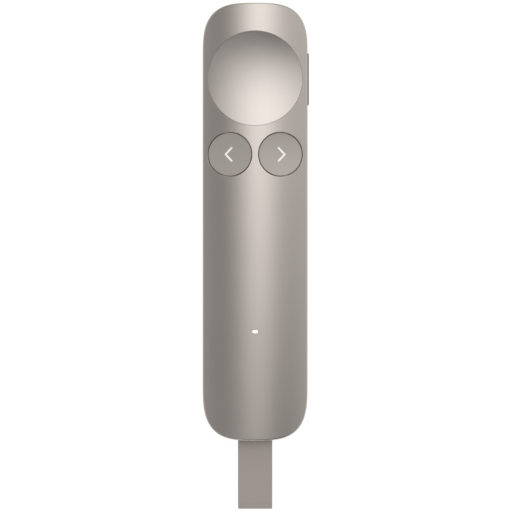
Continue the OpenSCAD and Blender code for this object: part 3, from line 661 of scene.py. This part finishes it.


# the chevron's finish carries a painted glow
def buildChevron(side, word):
    place = PageFace(side)
    turns = [math.pi / 2 * k / chevron["rimSteps"] for k in range(chevron["rimSteps"] + 1)]
    r = chevron["rimRound"]
    levels = [(chevron["inset"], -chevron["deep"])]
    levels += [(chevron["inset"] + r * (1 - math.cos(turn)), r * (math.sin(turn) - 1)) for turn in turns]
    loops = [chevronLoop(side, inset) for inset, _ in levels]
    rings = [[place.at(p, w) for p in loop] for loop, (_, w) in zip(loops, levels)]
    solid = [bandPatch(rings), laidPatch(fillLoops([loops[-1]]), place.at),
             flipped(laidPatch(fillLoops([loops[0]]), place.sunk))]
    makePiece(word + "Chevron", [solid], "chevronPaintedGlow", word + "_page_button", word + "_chevron")


# light pipe, a pill of clear plastic that carries the status lamp's light to the front
pipeLow, pipeHigh = boxMm("light_pipe")
light = {
    "y": (pipeLow.y + pipeHigh.y) / 2,
    "low": pipeLow.z,
    "width": 1.6,
    "length": 0.9,
    "gap": 0.05,
    "rimRound": 0.07,
    "sink": 0.02,       # of its face below the crown
    "neck": 1.25,       # from the crown down to the round pipe
    "field": 1,         # half a side of the square of points on its face
    "step": 0.25,
    "clear": 0.1,       # kept free along the rim
    "pipeRadius": 1.3,
    "flangeRadius": 2.2,
    "flangeThick": 0.5,
}
chassisTop = boxMm("chassis")[1].z


def buildLight():
    y, inset, field = light["y"], 2 * light["rimRound"], light["field"]
    neck = crownAt(light["width"]) - light["neck"]
    starts = pillLoop(0, y, light["width"] - inset, light["length"] - inset)
    sides = [out.to_3d() for out in loopOuts(pillLoop(0, y, light["width"], light["length"]))]
    sink = lambda p: onCrown(p, light["sink"])
    grid = gridPoints((-field, y - field), (field, y + field), light["step"])
    solid = [laidPatch(fillLoops([starts], grid, light["clear"]), sink, crownNormal)]
    outs = [crownNormal(p) for p in starts]
    solid += capSides([sink(p) for p in starts], outs, sides, light["rimRound"], neck)
    pipe = rodPatches(0, y, light["pipeRadius"], light["low"], neck)
    flange = rodPatches(0, y, light["flangeRadius"], chassisTop, chassisTop + light["flangeThick"])
    makePiece("lightPipe", [solid, pipe, flange], "pipeClear", "handset", "light_pipe")


# side key, a long pill that stands out of the right side
keyLow, keyHigh = boxMm("side_key")
key = {
    "face": keyHigh.x,
    "low": keyLow.x,
    "y": (keyLow.y + keyHigh.y) / 2,
    "z": (keyLow.z + keyHigh.z) / 2,
    "height": keyHigh.z - keyLow.z,
    "length": 15.75,
    "gap": 0.15,
    "rimRound": 0.25,
    "field": (8, 2),    # half sides of the field of points on its face
    "step": 0.8,
    "clear": 0.3,
    "inside": 14.55,    # face of the flange that keeps the key in
    "flange": 1,
    "flangeLength": keyHigh.y - keyLow.y,
    "bossWidth": 3,
    "bossHeight": 1,
}
sKey = lengthNear(body["half"], key["y"])
sKey += key["y"] - rimAt(sKey)[0].y


def keyBlock(low, high, width, height):
    return blockPatches((low, key["y"] - width / 2, key["z"] - height / 2),
                        (high, key["y"] + width / 2, key["z"] + height / 2))


def buildKey():
    loop = splitLoop(pillLoop(key["y"], key["z"], key["length"], key["height"]), key["step"])
    stand = lambda p, x: Vector((x, p.x, p.y))
    ways = [Vector((0, *out)) for out in loopOuts(loop)]
    ahead = Vector((1, 0, 0))
    starts = [stand(p, key["face"] - key["rimRound"]) for p in loop]
    rings, turned = roundRings(starts, ways, [ahead] * len(loop), key["rimRound"])
    root = key["inside"] - key["flange"] / 2
    foot = [stand(p, root) for p in loop]
    wall = bandPatch([foot, starts], [ways, ways])
    field, rise = key["field"]
    grid = gridPoints((key["y"] - field, key["z"] - rise), (key["y"] + field, key["z"] + rise), key["step"])
    filled = fillLoops([[Vector((p.y, p.z)) for p in rings[-1]]], grid, key["clear"])
    face = laidPatch(filled, lambda p: stand(p, key["face"]), lambda p: ahead)
    solids = [[face, bandPatch(rings, turned), wall, endPatch(foot, -ahead)],
              keyBlock(key["inside"] - key["flange"], key["inside"], key["flangeLength"], key["height"]),
              keyBlock(key["low"], root, key["bossWidth"], key["bossHeight"])]
    makePiece("sideKey", solids, "keyPlastic", "side_key", "side_key")


# laser window, a smoked disc in the nose
windowLow, windowHigh = boxMm("laser_window")
window = {
    "radius": windowHigh.x,
    "z": (windowLow.z + windowHigh.z) / 2,
    "back": windowLow.y,
    "face": windowHigh.y,
    "gap": 0.04,
    "edge": 0.12,
    "edgeBend": 0.3,    # share of the edge that is left at its middle
    "turns": 48,
}


def buildWindow():
    place = lambda u, v, h: Vector((v, h, window["z"] + u))
    r, face, edge = window["radius"], window["face"], window["edge"]
    bend = window["edgeBend"] * edge
    profile = [(0, window["back"]), (r, window["back"]), (r, face - edge), (r - bend, face - bend),
               (r - edge, face), (0, face)]
    solid = turnedPatches(profile, place, window["turns"])
    makePiece("laserWindow", [solid], "windowSmoked", "handset", "laser_window")


# the mouth in the tail, where the receiver slides in
topLow, topHigh = boxMm("receiver_top")
mouth = {"z": topLow.z, "play": 0.2, "round": 1.4}
mouth["half"] = topHigh.x + mouth["play"]
mouth["rise"] = topHigh.z - topLow.z + mouth["play"]


def mouthColumns():
    # places round the outline from one side of the mouth all the way round to the other
    start, end = sTail + mouth["half"], sTail - mouth["half"]
    after = [i * rimStep for i in range(rimCount + 1) if i * rimStep > start + rimClear]
    before = [i * rimStep for i in range(rimCount + 1) if i * rimStep < end - rimClear]
    return [start] + after, before + [end]


def mouthCorners(side, z):
    # the mouth's two rounded corners, from the given side to the other one
    inset, turn = mouth["half"] - mouth["round"], 180 if side < 0 else 0
    return (arcPoints(sTail + side * inset, z, mouth["round"], turn, turn - 90)
            + arcPoints(sTail - side * inset, z, mouth["round"], turn - 90, turn - 180))


# front shell, one crowned cap of satin metal with openings for buttons, light, laser and receiver
shell = {
    "wall": 0.95,
    "seamRound": 0.1,   # soft edge at the seam
    "seamTurns": (90, 60, 30, 0),  # degrees, of the rings along it
    "holeRound": 0.12,  # soft edge round the other openings
    "rows": 3,          # of points up the side
    "rowStep": 1.15,
    "step": 1.0,        # between the points on the front
    "clear": 0.45,
    "edgeSteps": 10,
    "bossRadius": 1.9,
    "screwHole": 0.75,
    "screwSpots": [(9.55, 58.4), (11.15, 8.3), (11.15, -46.1)],
}


def holeEdge(points, normals, towards, downs, rounding):
    # the soft edge of an opening; its inner side lies a wall below the surface
    rings, outs = roundRings(points, normals, towards, rounding)
    unders = [[q - (q - p).dot(down) * down + shell["wall"] * down for q, p, down in zip(ring, points, downs)]
              for ring in rings]
    return bandPatch(rings, outs, unders)


def deckHole(loop, rounding):
    towards = [-out.to_3d() for out in loopOuts(loop)]
    return holeEdge([onCrown(p) for p in loop], [crownNormal(p) for p in loop], towards, [-up] * len(loop),
                    rounding)


def sideHole(loop, rounding):
    spots, normals, towards = [], [], []
    for p, out in zip(loop, loopOuts(loop)):
        rim, away = rimAt(p.x)
        spots.append(Vector((rim.x, rim.y, p.y)))
        normals.append(away.to_3d())
        along = Vector((-away.y, away.x, 0))
        towards.append((-(out.x * along + out.y * up)).normalized())
    return holeEdge(spots, normals, towards, [-out for out in normals], rounding)


def edgeSpots():
    # for each outline point, the middle of its rolling edge and the ways to the side and to the front
    axis = body["ridge"] - body["crownRadius"]
    inner = body["crownRadius"] - body["edgeRound"]
    spots = []
    for p, out in zip(rimPoints, rimOuts):
        flat = p - body["edgeRound"] * out
        z = axis + math.sqrt(inner ** 2 - flat.x ** 2)
        front = Vector((flat.x / inner, 0, (z - axis) / inner))
        spots.append((Vector((flat.x, flat.y, z)), out.to_3d(), front))
    return spots


def buildShell():
    wall, grow = shell["wall"], shell["holeRound"]
    spots = edgeSpots()
    rings, outs = [], []
    for k in range(shell["edgeSteps"] + 1):
        turned = [turnBetween(side, front, k / shell["edgeSteps"]) for _, side, front in spots]
        rings.append([middle + body["edgeRound"] * out for (middle, _, _), out in zip(spots, turned)])
        outs.append(turned)
    edge = bandPatch(rings, outs)

    # the crowned front
    dishHole = circleLoop(0, pointer["y"], pointer["radius"] + pointer["gap"] + pointer["holeRound"],
                          pointer["turns"])
    holes = [circleLoop(side * page["x"], page["y"], page["radius"] + page["gap"] + grow, page["turns"])
             for side in (-1, 1)]
    slot = light["gap"] + grow
    holes.append(pillLoop(0, light["y"], light["width"] + 2 * slot, light["length"] + 2 * slot))
    loops = [[p.xy for p in rings[-1]], dishHole] + holes
    filled = fillLoops(loops, bodyPoints(shell["step"]), shell["clear"] * shell["step"])
    deck = laidPatch(filled, onCrown, crownNormal)

    # the side, unrolled: along the outline and up
    low = body["seam"] + shell["seamRound"]
    after, before = mouthColumns()
    doorway = mouthCorners(-1, mouth["z"] + mouth["rise"] - mouth["round"])
    heights = [low + shell["rowStep"] * k for k in range(1, shell["rows"] + 1)]
    outer = [(s, low) for s in before] + doorway + [(s, low) for s in after]
    outer += [(rimLength, z) for z in heights]
    outer += [(i * rimStep, rings[0][i % rimCount].z) for i in range(rimCount, -1, -1)]
    outer += [(0, z) for z in reversed(heights)]
    slot = key["gap"] + grow
    keyHole = splitLoop(pillLoop(sKey, key["z"], key["length"] + 2 * slot, key["height"] + 2 * slot), rimStep)
    laserHole = circleLoop(sNose, window["z"], window["radius"] + 2 * window["gap"], window["turns"])
    heights.append(heights[-1] + shell["rowStep"])
    columns = [(i * rimStep, z) for i in range(1, rimCount) for z in heights]
    side = laidPatch(fillLoops([splitLoop(outer, shell["step"]), keyHole, laserHole], columns, rimClear),
                     lambda p: Vector((*rimAt(p.x)[0], p.y)), lambda p: rimAt(p.x)[1].to_3d())

    # the soft edge along the seam
    rims = [rimAt(s) for s in after + before[1:]]
    rings, outs, unders = [], [], []
    for turn in shell["seamTurns"]:
        across, drop = wayAt(turn)
        z = low - shell["seamRound"] * drop
        rings.append([(p - shell["seamRound"] * (1 - across) * out).to_3d() + z * up for p, out in rims])
        outs.append([(across * out).to_3d() - drop * up for _, out in rims])
        unders.append([(p - wall * out).to_3d() + z * up for p, out in rims])
    seam = bandPatch(rings, outs, unders, closed=False)
    outside = [deckHole(loop, grow) for loop in holes] + [deckHole(dishHole, pointer["holeRound"])]
    outside += [sideHole(keyHole, grow), sideHole(laserHole, window["gap"])]
    outside += [deck, edge, side, seam]
    # the bosses that the chassis is screwed to
    solids = [outside]
    for x, y in shell["screwSpots"]:
        solids += [rodPatches(side * x, y, shell["bossRadius"], chassisTop, crownAt(x) - wall / 2,
                              shell["screwHole"]) for side in (-1, 1)]
    makePiece("frontShell", solids, "satinMetal", "handset", "front_shell", wall)


# back cover, a shallow tray with rolled sides
cover = {
    "wall": 1.2,
    "seamRound": 0.18,
    "seamSteps": 3,
    "rows": 8,          # of points up the rolled side
    "spacing": 1.0,     # of the points along its edges
    "step": 1.6,        # between the points on the flat land
    "clear": 0.5,
}


def rolledAt(s, turn):
    # a point on the rolled side, and the way out there
    r = body["backRound"]
    rim, out = rimAt(s)
    way = (math.sin(turn) * out).to_3d() - math.cos(turn) * up
    return (rim - r * out).to_3d() + r * up + r * way, way


def buildCover():
    r = body["backRound"]
    turnTop = math.acos(cover["seamRound"] / (r - cover["seamRound"]))
    climb = lambda z: r * math.acos(1 - z / r)
    columns = [i * rimStep for i in range(rimCount + 1)]
    after, before = mouthColumns()
    doorway = mouthCorners(1, mouth["z"] - mouth["rise"] + mouth["round"])
    top = r * turnTop
    heights = [top * k / cover["rows"] for k in range(1, cover["rows"])]
    outer = [(s, 0) for s in columns] + [(rimLength, a) for a in heights]
    outer += [(s, top) for s in reversed(after)] + [(p.x, climb(p.y)) for p in doorway]
    outer += [(s, top) for s in reversed(before)] + [(0, a) for a in reversed(heights)]
    inner = [(s, a) for s in columns[1:-1] for a in heights]
    filled = fillLoops([splitLoop(outer, cover["spacing"])], inner, rimClear)
    edge = laidPatch(filled, lambda p: rolledAt(p.x, p.y / r)[0], lambda p: rolledAt(p.x, p.y / r)[1])

    # the flat land that it lies on
    ring = [p - r * out for p, out in zip(rimPoints, rimOuts)]
    filled = fillLoops([ring], bodyPoints(cover["step"]), cover["clear"] * cover["step"])
    land = flipped(laidPatch(filled, lambda p: p.to_3d(), lambda p: -up))

    # the soft edge along the seam
    rims = [rimAt(s) for s in after + before[1:]]
    spots, sides = zip(*(rolledAt(s, turnTop) for s in after + before[1:]))
    rings, outs = roundRings(spots, sides, [up] * len(rims), cover["seamRound"], cover["seamSteps"])
    unders = [[(p - cover["wall"] * out).to_3d() + q.z * up for (p, out), q in zip(rims, level)]
              for level in rings]
    seam = bandPatch(rings, outs, unders, closed=False)
    makePiece("backCover", [[seam, edge, land]], "coverPlastic", "handset", "back_cover",
              cover["wall"])


# strap, one loop of soft rubber round the receiver's pin
strapLow, strapHigh = boxMm("strap_loop")
strap = {
    "half": strapHigh.x,
    "z": (strapLow.z + strapHigh.z) / 2,
    "out": (strapHigh.z - strapLow.z) / 2,
    "thick": 1.1,
    "edge": 0.3,        # rounding of the band's edges
    "edgeSteps": 6,
    "step": 0.7,        # along the straight parts
    "bends": 24,        # steps round each end
    "columns": 14,      # across the band
}
strap["bow"] = strapLow.y + strap["out"]
strap["pin"] = strapHigh.y - strap["out"]


def strapPath():
    # the middle of the band once round, with the way out of the loop
    middle = strap["out"] - strap["thick"] / 2
    length = strap["pin"] - strap["bow"]
    straight = round(length / strap["step"])
    path = []
    for start, end, side in ((strap["bow"], strap["pin"], 1), (strap["pin"], strap["bow"], -1)):
        path += [(Vector((start + side * length * i / straight, -side * middle)), Vector((0, -side)))
                 for i in range(straight)]
        for i in range(strap["bends"]):
            turn = math.pi * i / strap["bends"]
            way = side * Vector((math.sin(turn), -math.cos(turn)))
            path.append((Vector((end, 0)) + middle * way, way))
    return path


def strapSection():
    # round the band: across its outer face, and back across its inner one
    edge, columns, turnStep = strap["edge"], strap["columns"], 90 / strap["edgeSteps"]
    half, deep = strap["half"] - edge, strap["thick"] / 2 - edge
    section = [(-half + 2 * half * i / columns, deep + edge, 90) for i in range(1, columns)]
    corners = ((half, deep, 90), (half, -deep, 0), (-half, -deep, -90), (-half, deep, -180))
    for k, (x, t, first) in enumerate(corners):
        for i in range(strap["edgeSteps"] + 1):
            turn = first - turnStep * i
            u, v = wayAt(turn)
            section.append((x + edge * u, t + edge * v, turn))
        if k == 1:          # between the corners of the inner face
            section += [(half - 2 * half * i / columns, -deep - edge, -90) for i in range(1, columns)]
    return section + section[:1]


def buildStrap():
    path = strapPath()
    rings, outs = [], []
    for x, t, turn in strapSection():
        u, v = wayAt(turn)
        rings.append([Vector((x, p.x + t * way.x, strap["z"] + p.y + t * way.y)) for p, way in path])
        outs.append([Vector((u, v * way.x, v * way.y)) for _, way in path])
    band = bandPatch(rings, outs)
    makePiece("strapLoop", [[band]], "strapRubber", "receiver", "strap_loop")


# outer finishes: colour, metallic, roughness, grain size and depth in mm, changes of colour and roughness
outer = {
    "satinMetal": ((0.452, 0.414, 0.383), 1.0, 0.22, 0.09, 0.0003, 0.015, 0.02),
    "dishSatin": ((0.463, 0.426, 0.398), 1.0, 0.26, 0.08, 0.0003, 0.015, 0.02),
    "capSatin": ((0.45, 0.41, 0.378), 0.55, 0.34, 0.07, 0.0008, 0.015, 0.04),
    "coverPlastic": ((0.25, 0.225, 0.205), 0.0, 0.55, 0.18, 0.004, 0.03, 0.06),
    "keyPlastic": ((0.085, 0.071, 0.061), 0.0, 0.5, 0.1, 0.002, 0.03, 0.04),
    "chevronPaintedGlow": ((0.93, 0.93, 0.915), 0.0, 0.4, 0.1, 0.0006, 0.01, 0.03),
    "strapRubber": ((0.415, 0.367, 0.33), 0.0, 0.46, 0.12, 0.003, 0.02, 0.05),
    "windowSmoked": ((0.02, 0.018, 0.018), 0.0, 0.1, 2.0, 0.001, 0.0, 0.02),
    "pipeClear": ((0.9, 0.9, 0.88), 0.0, 0.3, 0.3, 0.001, 0.0, 0.04),
}
extras = {
    "chevronPaintedGlow": {"Emission_Color": (1, 0.99, 0.97, 1), "Emission_Strength": 0.18},  # painted glow: the inlay shines faintly though no lamp lights it
    "windowSmoked": {"Coat_Weight": 0.6},
    "pipeClear": {"Emission_Color": (1, 0.99, 0.96, 1), "Emission_Strength": 0.5},
}
finishes = {}
for name, (colour, metallic, roughness, *grain) in outer.items():
    finishes[name] = addGrain(newFinish(name, colour, metallic, roughness, **extras.get(name, {})), *grain)
print("outer finishes ready")

buildShell()
buildCover()
buildPointer()
buildPage(-1, "back")
buildPage(1, "next")
buildChevron(-1, "back")
buildChevron(1, "next")
buildLight()
buildKey()
buildWindow()
buildStrap()
print("outer pieces ready")


# inner finishes: colour, metallic, roughness, grain size and depth in mm, and the nodes that have it
innerChange = {"tint": 0.04, "sheen": 0.05}
innerParts = {
    "chassisPlastic": ((0.035, 0.035, 0.037), 0.0, 0.55, 0.25, 0.006, ["chassis"]),
    "receiverPlastic": ((0.25, 0.225, 0.205), 0.0, 0.5, 0.16, 0.003, ["receiver_top", "receiver_bottom"]),
    "dockPlastic": ((0.05, 0.05, 0.052), 0.0, 0.5, 0.2, 0.005, ["receiver_dock"]),
    "boardLaminate": ((0.012, 0.07, 0.035), 0.0, 0.38, 0.35, 0.004, ["main_board", "receiver_board"]),
    "safetyLaminate": ((0.012, 0.03, 0.09), 0.0, 0.4, 0.3, 0.004, ["battery_safety_board"]),
    "chipResin": ((0.018, 0.018, 0.02), 0.0, 0.5, 0.12, 0.003,
                  ["radio_chip", "motion_sensor", "charging_chip", "receiver_chip"]),
    "shieldSteel": ((0.58, 0.57, 0.55), 1.0, 0.32, 0.2, 0.002, ["radio_shield"]),
    "antennaCeramic": ((0.62, 0.6, 0.56), 0.0, 0.35, 0.2, 0.002, ["antenna"]),
    "plungerPlastic": ((0.55, 0.53, 0.5), 0.0, 0.45, 0.15, 0.003,
                       ["pointer_plunger", "back_plunger", "next_plunger", "side_plunger"]),
    "switchPlastic": ((0.022, 0.022, 0.024), 0.0, 0.45, 0.15, 0.003,
                      ["pointer_switch", "back_switch", "next_switch", "side_switch"]),
    "lampResin": ((0.85, 0.84, 0.78), 0.0, 0.25, 0.2, 0.001, ["status_lamp"]),
    "cellFoil": ((0.6, 0.6, 0.6), 0.9, 0.36, 0.8, 0.02, ["battery_cell"]),
    "padFoam": ((0.06, 0.06, 0.062), 0.0, 0.9, 0.2, 0.03, ["battery_pad"]),
    "connectorPlastic": ((0.78, 0.77, 0.72), 0.0, 0.5, 0.2, 0.003, ["battery_connector"]),
    "leadRed": ((0.45, 0.02, 0.015), 0.0, 0.45, 0.2, 0.002, ["battery_lead_red"]),
    "leadBlack": ((0.015, 0.015, 0.015), 0.0, 0.45, 0.2, 0.002, ["battery_lead_black"]),
    "caseSteel": ((0.6, 0.6, 0.6), 1.0, 0.3, 0.15, 0.002,
                  ["motor_case", "motor_shaft", "port_shell", "plug_shell"]),
    "rotorCopper": ((0.75, 0.36, 0.2), 1.0, 0.35, 0.15, 0.003, ["motor_rotor"]),
    "laserBrass": ((0.72, 0.5, 0.22), 1.0, 0.3, 0.12, 0.002, ["laser_barrel"]),
    "diodeSteel": ((0.62, 0.6, 0.55), 1.0, 0.26, 0.12, 0.001, ["laser_diode"]),
    "laserGlass": ((0.3, 0.05, 0.06), 0.0, 0.06, 1.0, 0.0005, ["laser_lens"]),
    "portPlastic": ((0.02, 0.02, 0.021), 0.0, 0.42, 0.15, 0.002, ["port_tongue", "plug_core"]),
    "pinSteel": ((0.55, 0.54, 0.52), 1.0, 0.3, 0.1, 0.001, ["strap_pin", "chassis_screws"]),
}
for name, (colour, metallic, roughness, size, depth, nodes) in innerParts.items():
    finish = addGrain(newFinish(name, colour, metallic, roughness), size, depth, **innerChange)
    for node in nodes:
        cadNodes[node].data.materials.clear()
        cadNodes[node].data.materials.append(finish)
print("inner finishes ready")


# floor, a pale plane that glows for what sees it and keeps a faint shadow
floor = {"size": 3.0, "z": -0.0002, "colour": 0.16, "roughness": 0.9, "glow": 0.94}


def buildFloor():
    mesh = bpy.data.meshes.new("floor")
    half = floor["size"] / 2
    corners = [(-half, -half, 0), (half, -half, 0), (half, half, 0), (-half, half, 0)]
    mesh.from_pydata(corners, [], [(0, 1, 2, 3)])
    thing = bpy.data.objects.new("floor", mesh)
    thing.location.z = floor["z"]
    bpy.context.scene.collection.objects.link(thing)
    paint = newFinish("floorPaint", (floor["colour"],) * 3, 0.0, floor["roughness"], Specular_IOR_Level=0,
                      Emission_Color=(1, 1, 1, 1))
    seen = addNode(paint, "ShaderNodeLightPath").outputs
    direct = addMath(paint, "ADD", seen["Is Camera Ray"], seen["Is Glossy Ray"])
    lit = addMath(paint, "ADD", direct, seen["Is Transmission Ray"], use_clamp=True)
    glow = addMath(paint, "MULTIPLY", lit, floor["glow"])
    setSockets(paint.node_tree.nodes["Principled BSDF"], {"Emission_Strength": glow})
    mesh.materials.append(paint)


# sky, by the direction it is seen in: a broad light overhead that changes along the body, paler sides,
# and a little light low behind the tail
sky = {
    "across": [(-0.38, 0.0), (-0.31, 0.17), (-0.25, 0.52), (-0.19, 1.06), (-0.13, 1.7), (-0.07, 2.36),
               (-0.01, 2.94), (0.05, 3.26), (0.11, 3.23), (0.17, 2.86), (0.23, 2.32), (0.3, 1.78),
               (0.38, 1.3), (0.5, 0.9), (0.7, 0.24)],
    "along": [(-0.12, 0.0), (-0.05, 0.14), (0.02, 0.61), (0.05, 0.77), (0.09, 0.48), (0.13, 0.75),
              (0.2, 0.75), (0.3, 0.66), (0.6, 0.35)],
    "sides": [(-0.8, 0.9), (-0.62, 0.66), (-0.48, 0.48), (-0.38, 0.42), (-0.31, 0.405), (-0.25, 0.36),
              (-0.19, 0.32), (-0.13, 0.29), (-0.07, 0.25), (-0.01, 0.2), (0.05, 0.12), (0.11, 0.04),
              (0.17, 0.0), (0.23, 0.0), (0.3, 0.05), (0.38, 0.19), (0.5, 0.38), (0.62, 0.7), (0.8, 1.0)],
    "behind": [(-0.97, 1.5), (-0.85, 0.5), (-0.65, 0.0)],
}


def skyRamp(world, source, stops):
    # strength along one part of the direction, from a list of places and values
    low, high = stops[0][0], stops[-1][0]
    peak = max(value for _, value in stops)
    span = addNode(world, "ShaderNodeMapRange", Value=source, From_Min=low, From_Max=high)
    ramp = addNode(world, "ShaderNodeValToRGB", Fac=span.outputs["Result"])
    marks = ramp.color_ramp.elements
    for k, (place, value) in enumerate(stops):
        mark = marks[k] if k < 2 else marks.new(1.0)
        mark.position = (place - low) / (high - low)
        mark.color = (value / peak,) * 3 + (1,)
    return addMath(world, "MULTIPLY", ramp.outputs["Color"], peak)


def buildSky():
    world = bpy.data.worlds.new("studioSky")
    world.use_nodes = True
    bpy.context.scene.world = world
    nodes = world.node_tree.nodes
    place = addNode(world, "ShaderNodeTexCoord").outputs["Generated"]
    split = addNode(world, "ShaderNodeSeparateXYZ", Vector=place).outputs
    overhead = addMath(world, "MULTIPLY_ADD", skyRamp(world, split["X"], sky["across"]),
                       skyRamp(world, split["Y"], sky["along"]), skyRamp(world, split["X"], sky["sides"]))
    strength = addMath(world, "ADD", overhead, skyRamp(world, split["Y"], sky["behind"]))
    dome = setSockets(nodes["Background"], {"Color": (1, 1, 1, 1), "Strength": strength})
    # what looks straight at the sky sees plain white
    plain = addNode(world, "ShaderNodeBackground", Color=(1, 1, 1, 1))
    seen = addNode(world, "ShaderNodeLightPath").outputs["Is Camera Ray"]
    mix = addNode(world, "ShaderNodeMixShader", seen, dome.outputs[0], plain.outputs[0])
    setSockets(nodes["World Output"], {"Surface": mix.outputs[0]})


buildFloor()
buildSky()
print("studio ready")

view = {"lens": 200, "sensor": 36, "place": (0.000255, -0.01026, 0.8644)}
camera = bpy.data.objects.new("camera", bpy.data.cameras.new("camera"))
camera.data.lens = view["lens"]
camera.data.sensor_width = view["sensor"]
camera.location = view["place"]
bpy.context.scene.collection.objects.link(camera)
bpy.context.scene.camera = camera
bpy.context.scene.view_settings.view_transform = "Standard"
